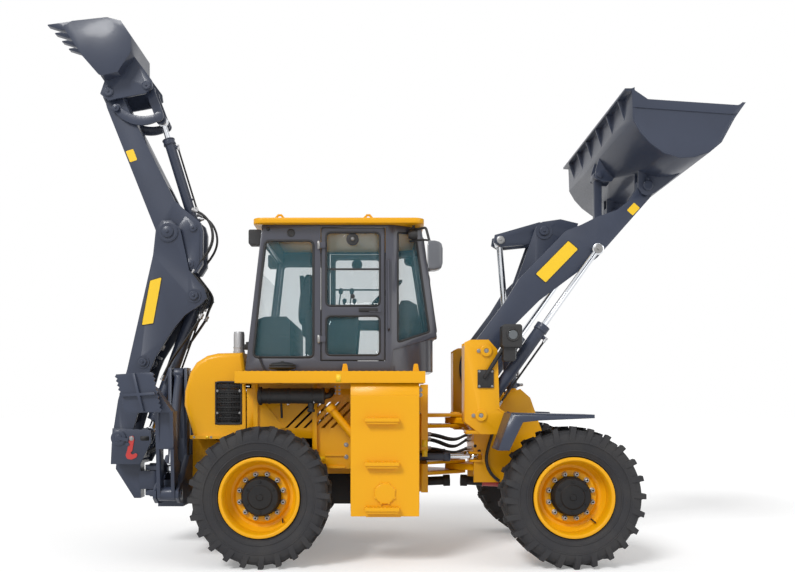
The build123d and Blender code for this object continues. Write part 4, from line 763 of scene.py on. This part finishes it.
station = Shape()
station.box((-0.6, -0.17, 1.684), (-0.26, 0.17, 1.74))
for k in range(5):
    grow = 0.012 * (k % 2)
    station.box((-0.58 - grow, -0.15 - grow, 1.74 + 0.046 * k), (-0.28 + grow, 0.15 + grow, 1.786 + 0.046 * k))
station.box((-0.66, -0.225, 1.968), (-0.24, 0.225, 2.0))
station.plate([(-0.69, 2.0), (-0.655, 2.0), (-0.68, 2.56), (-0.716, 2.56)], -0.2, 0.2)
for s in (-1, 1):
    station.plate([(-0.64, 1.684), (-0.64, 2.19), (-0.6, 2.215), (-0.2, 2.215), (-0.16, 2.18), (-0.2, 1.684)],
                  s * 0.3, s * 0.438)
    for x in (-0.34, -0.24):
        station.lathe((x, s * 0.37, 2.21), (0, 0, 1),
                      [(0.034, 0), (0.026, 0.012), (0.028, 0.018), (0.018, 0.03), (0.019, 0.036), (0.009, 0.05),
                       (0, 0.05), (0, 0)], 20)
        station.tube((x, s * 0.37, 2.255), (x + 0.015, s * 0.37, 2.365), 0.006)
        station.lathe((x + 0.015, s * 0.37, 2.36), (0.1, 0, 1),
                      [(0, 0), (0.014, 0.004), (0.022, 0.03), (0.02, 0.048), (0.01, 0.058), (0, 0.058)], 20)
station.plate([(0.18, 1.9), (0.436, 1.985), (0.378, 2.288), (0.3, 2.33), (0.235, 2.328), (0.19, 2.25)], -0.198,
              0.198)
station.box((0.02, -0.12, 1.684), (0.22, -0.06, 1.7))
station.box((0.02, 0.06, 1.684), (0.22, 0.12, 1.7))
axis = V((-0.105, 0, 0.13)).normalized()
station.tube((0.215, 0, 2.27), V((0.1, 0, 2.412)) - axis * 0.01, 0.026, 0.02)
hub = V((0.1, 0, 2.425))
station.lathe(hub, axis, [(0, -0.016), (0.04, -0.016), (0.048, -0.004), (0.036, 0.014), (0, 0.018)], 32)
station.lathe(hub, axis, bead(0.176, 0, 0.013, 0.013, 12), 64)
side_way = V((0, 1, 0))
up_way = axis.cross(side_way)
for deg in (90, 210, 330):
    spoke = side_way * math.cos(math.radians(deg)) + up_way * math.sin(math.radians(deg))
    station.tube(hub + spoke * 0.035, hub + spoke * 0.172, 0.011, 0.008, 10)
station.plate([(-1.086, 1.69), (-1.046, 2.11), (-0.98, 2.135), (-0.79, 2.135), (-0.76, 2.1), (-0.76, 1.69)], -0.61,
              0.61)
for k in range(6):
    station.plate([(-0.755, 1.73 + 0.06 * k), (-0.755, 1.755 + 0.06 * k), (-0.762, 1.755 + 0.06 * k),
                   (-0.762, 1.73 + 0.06 * k)], -0.26, 0.26)
controls = station.done("operator_controls", BLACK, REAR, 0.003)
for piece in (controls, cushion, back):
    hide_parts("operator_station")

# ---- front frame and fenders
# pivots as (x, z), where part.py has them
TOWER_FACE = 0.706            # y of the towers' outer plates
TOWER_TOP, LIFT_BASE, LIFT_EYE = (0.962, 1.826), (0.916, 1.262), (1.958, 2.73)
CRANK_PIVOT, CRANK_REAR, CRANK_FRONT, BUCKET_PIVOT = (1.577, 2.988), (1.175, 2.91), (2.114, 2.86), (2.41, 3.3)
BOOM_HEAD, BOOM_CYLINDER, DIPPER_CYLINDER = (-1.952, 2.973), (-1.708, 2.376), (-2.186, 1.755)
BUCKET_CYLINDER, DIPPER_HEEL, GUIDE_PIVOT = (-1.724, 3.017), (-1.752, 2.678), (-2.439, 4.136)

for hand, s in SIDES:
    out = (0, s, 0)
    yellow, silver = Shape(), Shape()
    for x, z in (TOWER_TOP, LIFT_BASE):
        yellow.lathe((x, s * TOWER_FACE, z), out,
                     [(0.02, 0), (0.052, 0), (0.052, 0.008), (0.046, 0.012), (0.024, 0.012), (0.02, 0.008)], 32)
        silver.bolt((x, s * TOWER_FACE, z), out, 0.015, 0.014)
        yellow.box((x - 0.085, s * 0.698, z - 0.016), (x - 0.03, s * TOWER_FACE, z + 0.016))
        silver.bolt((x - 0.066, s * 0.705, z), out, 0.013, 0.012)
    for x in (0.9, 1.012):
        for z in (1.517, 1.647):
            silver.bolt((x, s * 0.7105, z), out, 0.008, 0.008)
    silver.bolt((1.151, s * TOWER_FACE, 1.258), out, 0.012, 0.01)
    silver.bolt((1.086, s * TOWER_FACE, 1.14), out, 0.012, 0.01)
    for x, z in ((1.21, 1.225), (1.14, 1.09)):
        silver.bolt((x, s * 0.91, z + 0.03), (-0.35, 0, 0.93), 0.009, 0.007)
    yellow.plate([(1.062, 1.318), (1.074, 1.326), (1.186, 1.246), (1.186, 1.128), (1.174, 1.128), (1.174, 1.238)],
                 s * 0.672, s * 0.704)
    yellow.done(f"{hand}_tower_bosses", YELLOW, FRONT, 0.002)
    silver.done(f"{hand}_tower_bolts", STEEL, FRONT, 0.0006)
    stay = Shape()
    stay.plate([(1.146, 1.3), (1.184, 1.284), (1.112, 1.105), (1.07, 1.12)], s * 0.699, s * 0.7055)
    stay.plate([(1.1195, 1.2885), (1.8055, 1.2745), (1.8055, 1.2455), (1.79, 1.2455), (1.79, 1.264),
                (1.133, 1.276)], s * 1.084, s * 1.0925)
    stay.done(f"{hand}_fender_stay", SLATE, FRONT, 0.0015)
    hoses(f"{hand}_frame_hose", [[(1.068, s * 0.3, 1.09), (1.04, s * 0.318, 1.0), (1.002, s * 0.32, 0.89),
                                  (1.02, s * 0.318, 0.76), (1.08, s * 0.318, 0.69), (1.13, s * 0.3, 0.655)]],
          0.015, FRONT)
    # black discs: painted shade that stands for the shade inside the frame's holes
    hole_shade = Shape()
    for x, z in ((0.902, 0.974), (0.939, 0.928)):
        hole_shade.lathe((x + 0.01, s * 0.2895, z), out, rect(0, 0, 0.015, 0.0015), 20)
    hole_shade.done(f"{hand}_frame_hole_shade", BLACK, FRONT, 0)

# hoses across the articulation, between the lugs, and from the front frame up to the arms
runs = []
for y, z, sag in ((-0.11, 1.08, 0.05), (-0.075, 1.03, 0.07), (0.075, 1.06, 0.05), (0.11, 1.01, 0.07),
                  (-0.095, 0.945, 0.04), (0.095, 0.93, 0.04)):
    runs.append([(0.478, y, z), (0.56, y, z), (0.68, y * 1.05, z - sag), (0.79, y * 1.05, z - sag), (0.85, y, z),
                 (0.898, y, z)])
hoses("articulation_hoses", runs, 0.012, REAR, (REAR, FRONT, (0.52, 0, 1.0), (0.89, 0, 1.0)))
fittings("articulation_fittings_rear", [((r[0][0] - 0.004, r[0][1], r[0][2]), (1, 0, 0)) for r in runs], 0.012,
         REAR)
fittings("articulation_fittings_front", [((r[-1][0] + 0.002, r[-1][1], r[-1][2]), (-1, 0, 0)) for r in runs],
         0.012, FRONT)

shaft = Shape()
shaft.tube((1.01, 0, 0.6225), (1.16, 0, 0.614), 0.0445)
for x in (1.012, 1.156):
    shaft.tube((x, 0, 0.622), (x + 0.008, 0, 0.6215), 0.05)
shaft.done("shaft_guard", RED, FRONT, 0.001)

# ---- loader
ARMS, BUCKET = "loader_arms_body", "loader_bucket_body"
for hand, s in SIDES:
    out = (0, s, 0)
    sign = Shape()
    sign.plate(rounded([(1.424, 2.522), (1.714, 2.816), (1.8, 2.742), (1.512, 2.446)], 0.012), s * 0.5395,
               s * 0.5425)
    sign.plate(rounded([(2.236, 3.09), (2.3, 3.158), (2.352, 3.11), (2.288, 3.042)], 0.01), s * 0.5395, s * 0.542)
    sign.done(f"{hand}_arm_blank_plates", STICKER, ARMS, 0.0005)
    seal(f"{hand}_arm_plate_edge", [(1.42, 2.522), (1.714, 2.82), (1.804, 2.742), (1.512, 2.442)],
         lambda u, v: (u, s * 0.541, v), ARMS, 0.0035, 0.012)
    caps = Shape()
    x, z = LIFT_EYE
    caps.pin((x, s * 0.629, z), out, 0.04, 0.034, 0.01, 0.012, 0.01)
    caps.done(f"{hand}_lift_eye_cap", STEEL, ARMS, 0.0008)
    keep = Shape()
    keep.knob((BUCKET_PIVOT[0], s * 0.5855, BUCKET_PIVOT[1]), out, [(0.044, 0), (0.044, 0.006), (0.036, 0.012)], 32)
    keep.plate(rounded([(2.395, 3.3), (2.395, 3.38), (2.425, 3.38), (2.425, 3.3)], 0.01), s * 0.5715, s * 0.58)
    keep.bolt((2.41, s * 0.58, 3.362), out, 0.011, 0.01)
    keep.done(f"{hand}_bucket_pin", SLATE, BUCKET, 0.001)
pins = Shape()
x, z = CRANK_PIVOT
for s in (-1, 1):
    pins.pin((x, s * 0.15, z), (0, s, 0), 0.046, 0.038, 0.012, 0.012, 0.01)
    pins.lathe((x, s * 0.1385, z), (0, s, 0), rect(0.046, 0, 0.078, 0.008), 40)
pins.done("crank_pivot_caps", SLATE, ARMS, 0.001)
pins = Shape()
for s in (-1, 1):
    for x, z in (CRANK_REAR, CRANK_FRONT):
        pins.pin((x, s * 0.108, z), (0, s, 0), 0.038, 0.03, 0.01, 0.01, 0.008)
pins.done("crank_pins", STEEL, "bell_crank_body", 0.0008)

ARM_LINES = (-0.425, -0.395, 0.425, 0.395)
runs = [[(0.93, y, 1.295), (0.92, y, 1.42), (0.83, y, 1.64), (0.85, y * 1.02, 1.86), (1.0, y * 1.04, 2.02),
         (1.09, y * 1.05, 2.08), (1.17, y * 1.06, 2.18)] for y in ARM_LINES]
hoses("loader_hoses", runs, 0.012, FRONT, (FRONT, ARMS, (0.88, 0, 1.64), (1.08, 0, 2.08)))
runs = [[(1.17, y * 1.06, 2.18), (1.23, y * 1.07, 2.27), (1.4, y * 1.07, 2.44), (1.49, y * 1.06, 2.54)]
        for y in ARM_LINES]
hoses("arm_pipes", runs, 0.009, ARMS, material=SLATE)
fittings("arm_pipe_fittings", [(r[0], V(r[1]) - V(r[0])) for r in runs], 0.011, ARMS)

edge = Shape()
edge.plate([(3.031, 3.836), (2.958, 3.729), (2.95, 3.737), (3.006, 3.838)], -1.128, 1.128)
for k in range(12):
    edge.bolt((2.966, -1.045 + 0.19 * k, 3.762), (-0.83, 0, 0.56), 0.013, 0.007)
edge.done("bucket_cutting_edge", STEEL, BUCKET, 0.001)
beads = []
for s in (-1, 1):
    line = [(2.107, 3.688), (2.164, 3.59), (2.246, 3.5), (2.36, 3.416), (2.491, 3.377), (2.614, 3.385),
            (2.737, 3.426), (2.835, 3.508), (2.942, 3.705)]
    beads.append(bent([(x + (0.004 if x < 2.45 else -0.004), s * 1.1285, z + 0.006) for x, z in line], 0.006,
                      order=0))
for y in (-0.9, -0.54, -0.18, 0.18, 0.54, 0.9):
    for off in (-0.01, 0.01):
        beads.append(bent([(2.101, y + off, 3.93), (2.103, y + off, 3.84), (2.107, y + off, 3.765)], 0.005,
                          order=0))
adopt("bucket_welds", joined("bucket_welds", beads), SLATE, BUCKET)

# ---- cylinders: glands, ports and pipes
CYLINDERS = [
    # name, y, base pin, rod eye, barrel radius, rod radius, base to gland, side of the pipe (x, z), body
    ("lift_right", -0.605, LIFT_BASE, LIFT_EYE, 0.055, 0.026, 0.975, (0.815, -0.579), "lift_barrels_body"),
    ("lift_left", 0.605, LIFT_BASE, LIFT_EYE, 0.055, 0.026, 0.975, (0.815, -0.579), "lift_barrels_body"),
    ("tilt", 0, (1.295, 1.447), CRANK_REAR, 0.06, 0.03, 0.825, (0.997, 0.082), "tilt_barrel_body"),
    ("boom", 0, BOOM_CYLINDER, (-2.165, 1.09), 0.062, 0.03, 1.24, (0.942, -0.335), "boom_barrel_body"),
    ("dipper", 0, DIPPER_CYLINDER, DIPPER_HEEL, 0.05, 0.028, 0.93, (0.905, -0.4255), "dipper_barrel_body"),
    ("hoe_bucket", 0, BUCKET_CYLINDER, (-2.044, 4.061), 0.048, 0.026, 0.915, (0.956, 0.293), "bucket_barrel_body"),
]
for name, y, base, eye, barrel_r, rod_r, gland, way, body in CYLINDERS:
    base, eye, way = V((base[0], y, base[1])), V((eye[0], y, eye[1])), V((way[0], 0, way[1]))
    run = (eye - base).normalized()
    collar = Shape()
    grow = 0.0085 if "lift" in name else 0.012
    for at in (gland - 0.055, gland - 0.012):
        collar.lathe(base + run * at, run,
                     [(barrel_r, 0), (barrel_r + grow, 0.001), (barrel_r + grow, 0.009), (barrel_r, 0.01)], 40)
    low, high = base + run * 0.3, base + run * (gland - 0.09)
    for at in (base + run * 0.09, high):
        collar.tube(at + way * (barrel_r - 0.004), at + way * (barrel_r + 0.022), 0.02, 0.016)
    collar.tube(low + way * (barrel_r - 0.002), low + way * (barrel_r + 0.012), 0.01)
    collar.done(f"{name}_cylinder_ports", SLATE, body, 0.001)
    seal_ring = Shape()
    seal_ring.lathe(base + run * (gland + 0.001), run,
                    [(rod_r + 0.001, 0), (rod_r + 0.012, 0), (rod_r + 0.01, 0.006), (rod_r + 0.001, 0.007)], 32)
    seal_ring.done(f"{name}_cylinder_wiper", BLACK, body, 0)
    offset = way * (barrel_r + (0.03 if "lift" in name else 0.018))
    pipe = [high + offset, high + offset - run * 0.03, (low + high) / 2 + offset, low + offset + run * 0.03,
            base + run * 0.18 + offset]
    hoses(f"{name}_cylinder_pipe", [pipe], 0.009, body, material=IRON)
    ends = [(high + offset, -run), (base + run * 0.18 + offset, run)]
    if "lift" not in name:
        ends.append((base + run * 0.09 + offset, way))
    fittings(f"{name}_cylinder_fittings", ends, 0.01, body)

# ---- backhoe
BOOM, DIPPER, POST, HOE = "boom_body", "dipper_body", "swing_post_body", "backhoe_bucket_body"
for hand, s in SIDES:
    out = (0, s, 0)
    sign = Shape()
    sign.plate(rounded([(-2.118, 2.516), (-2.012, 2.548), (-2.09, 2.118), (-2.196, 2.1)], 0.012), s * 0.1695,
               s * 0.1725)
    sign.done(f"{hand}_boom_blank_plate", STICKER, BOOM, 0.0005)
    seal(f"{hand}_boom_plate_edge", [(-2.122, 2.518), (-2.008, 2.552), (-2.088, 2.114), (-2.2, 2.096)],
         lambda u, v: (u, s * 0.171, v), BOOM, 0.0035, 0.012)
    sign = Shape()
    sign.plate(rounded([(-2.36, 3.74), (-2.29, 3.762), (-2.25, 3.66), (-2.318, 3.636)], 0.01), s * 0.1315,
               s * 0.1345)
    sign.done(f"{hand}_dipper_blank_sticker", STICKER, DIPPER, 0.0005)
    caps = Shape()
    for (x, z), r, y in ((BOOM_HEAD, 0.055, 0.19), (BOOM_CYLINDER, 0.044, 0.185), (DIPPER_CYLINDER, 0.04, 0.185)):
        caps.pin((x, s * y, z), out, r, r * 0.82, 0.012, 0.012, 0.01)
        caps.lathe((x, s * (y - 0.01), z), out, [(r * 1.05, 0), (r * 1.5, 0), (r * 1.5, 0.004), (r * 1.05, 0.004)],
                   40)
    caps.done(f"{hand}_boom_pins", SLATE, BOOM, 0.001)
    caps = Shape()
    for (x, z), r, y in ((BUCKET_CYLINDER, 0.036, 0.145), (DIPPER_HEEL, 0.036, 0.14), (GUIDE_PIVOT, 0.034, 0.175)):
        caps.pin((x, s * y, z), out, r, r * 0.8, 0.01, 0.01, 0.008)
    caps.done(f"{hand}_dipper_pins", SLATE, DIPPER, 0.001)
    caps = Shape()
    for x, z, r in ((-2.5, 4.277, 0.044), (-2.147, 4.335, 0.04)):
        caps.pin((x, s * 0.2, z), out, r, r * 0.8, 0.012, 0.01, 0.008)
    caps.done(f"{hand}_hoe_pins", SLATE, HOE, 0.001)
    caps = Shape()
    caps.lathe((-2.401, s * 0.2085, 1.044), out,
               [(0.037, 0), (0.072, 0), (0.072, 0.01), (0.064, 0.014), (0.037, 0.014)], 40)
    caps.bolt((-2.401, s * 0.225, 1.044), out, 0.014, 0.005)
    caps.plate(rounded([(-2.408, 1.03), (-2.31, 1.01), (-2.3, 1.04), (-2.398, 1.062)], 0.01), s * 0.226, s * 0.231)
    caps.lathe((-2.315, s * 0.2085, 0.985), out, [(0, 0), (0.018, 0), (0.018, 0.01), (0, 0.012)], 24)
    caps.done(f"{hand}_post_pins", SLATE, POST, 0.001)
    # thin black plate: painted shade that stands for the shade inside the slot in the swing post
    slot_shade_plate = Shape()
    slot_shade_plate.plate(rounded([(-2.2, 1.02), (-2.2, 1.062), (-2.118, 1.062), (-2.118, 1.02)], 0.012), s * 0.2075,
                     s * 0.2095)
    slot_shade_plate.done(f"{hand}_post_slot_shade", BLACK, POST, 0)

hook = Shape()
hook.plate(rounded([(-2.3, 1.06), (-2.262, 1.066), (-2.254, 1.03), (-2.272, 0.925), (-2.29, 0.905), (-2.272, 0.89),
                    (-2.24, 0.905), (-2.222, 0.89), (-2.236, 0.862), (-2.28, 0.842), (-2.32, 0.85), (-2.336, 0.88),
                    (-2.318, 0.94)], 0.012), -0.2085, -0.2155)
hook.done("swing_lock_hook", RED, POST, 0.002)
bolt = Shape()
bolt.bolt((-2.28, -0.2155, 1.04), (0, -1, 0), 0.016, 0.006)
bolt.done("swing_lock_bolt", STEEL, POST, 0.0008)

# hoses: frame to swing post, up the boom, and the loops round the boom's head
SWING_LINES, BOOM_LINES = (-0.11, -0.135, 0.11, 0.135), (-0.125, -0.1, 0.1, 0.125)
runs = [[(-1.885, y, 0.94), (-1.96, y, 0.985), (-2.08, y * 0.9, 0.96), (-2.15, y * 0.9, 0.915), (-2.215, y, 0.885)]
        for y in SWING_LINES]
hoses("swing_hoses", runs, 0.011, REAR, (REAR, POST, (-1.96, 0, 0.95), (-2.18, 0, 0.95)))
fittings("swing_hose_fittings", [((-1.862, y, 0.926), (-1, 0, 0.3)) for y in SWING_LINES], 0.011, REAR)
pipes = [[(-1.655, y, 2.18), (-1.64, y, 2.26), (-1.585, y, 2.345), (-1.59, y, 2.42), (-1.68, y, 2.53),
          (-1.735, y, 2.6)] for y in BOOM_LINES]
hoses("boom_pipes", pipes, 0.01, BOOM)
low_pipes = [[(-1.655, y, 2.18), (-1.74, y, 2.05), (-1.85, y, 1.9), (-1.96, y, 1.74), (-2.02, y, 1.6)]
             for y in BOOM_LINES]
hoses("boom_lower_pipes", low_pipes, 0.01, BOOM)
fittings("boom_pipe_fittings", [(p[0], (0.5, 0, 0.85)) for p in pipes] + [(p[-1], V(p[-2]) - V(p[-1]))
         for p in low_pipes], 0.01, BOOM)
loops = [[(-1.735, y, 2.6), (-1.67, y, 2.69), (-1.575, y, 2.8), (-1.53, y, 2.94), (-1.57, y, 3.09),
          (-1.64, y, 3.16), (-1.72, y, 3.19)] for y in (-0.125, -0.1, 0.1)]
hoses("boom_head_loops", loops, 0.011, BOOM, (BOOM, DIPPER, (-1.65, 0, 2.69), (-1.65, 0, 3.08)))
fittings("loop_fittings_boom", [(l[0], V(l[1]) - V(l[0])) for l in loops], 0.011, BOOM)
fittings("loop_fittings_dipper", [(l[-1], V(l[-2]) - V(l[-1])) for l in loops], 0.011, DIPPER)

# ---- camera, light, floor
IMAGE = (795, 572)          # the photograph's frame, in pixels
FOCAL_PX = 816              # the lens's length, in pixels
AIM_PX = (381, 402)         # where the camera's axis meets the photograph
SENSOR = 36
FLOOR_HALF = 60

cam_data = bpy.data.cameras.new("camera")
cam = bpy.data.objects.new("camera", cam_data)
scene.collection.objects.link(cam)
cam_data.sensor_width = SENSOR
cam_data.lens = SENSOR * FOCAL_PX / IMAGE[0]
cam_data.shift_x = (IMAGE[0] / 2 - AIM_PX[0]) / IMAGE[0]
cam_data.shift_y = (AIM_PX[1] - IMAGE[1] / 2) / IMAGE[0]
cam.location = (0.044, -7.815, 1.38)
cam.rotation_euler = (math.radians(90), 0, 0)
cam_data.clip_end = 200
scene.camera = cam

world = bpy.data.worlds.new("world")
scene.world = world
world.use_nodes = True
sky = world.node_tree
fill(sky, sky.nodes["Background"], {"Color": (1, 1, 1, 1), "Strength": scaled(sky, seen_rays(sky), 0.56, 1.0)})


def sun(name, energy, place, spread):
    """Soft sun that shines from a place towards the machine; spread is its width in degrees."""
    data = bpy.data.lights.new(name, "SUN")
    data.energy = energy
    data.angle = math.radians(spread)
    light = bpy.data.objects.new(name, data)
    scene.collection.objects.link(light)
    light.location = place
    light.rotation_euler = (V((0, 0, 1)) - V(place)).to_track_quat("-Z", "Y").to_euler()


sun("key", 1.9, (-5, -8, 9), 18)
sun("fill", 0.5, (9, -5, 5), 40)

floor_mesh = bpy.data.meshes.new("floor")
floor_mesh.from_pydata([(x, y, 0) for x, y in ((-FLOOR_HALF, -FLOOR_HALF), (FLOOR_HALF, -FLOOR_HALF),
                        (FLOOR_HALF, FLOOR_HALF), (-FLOOR_HALF, FLOOR_HALF))], [], [(0, 1, 2, 3)])
floor = bpy.data.objects.new("floor", floor_mesh)
scene.collection.objects.link(floor)
pale, tree, bsdf = shader("floor")
fill(tree, bsdf, {"Base Color": (0.86, 0.86, 0.86, 1), "Roughness": 0.9, "Specular IOR Level": 0.1,
                  "Emission Color": (1, 1, 1, 1),
                  "Emission Strength": maths(tree, "MULTIPLY", seen_rays(tree), 0.22)})
floor.data.materials.append(pale)
floor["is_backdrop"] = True

scene.view_settings.view_transform = "Standard"

lo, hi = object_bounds()
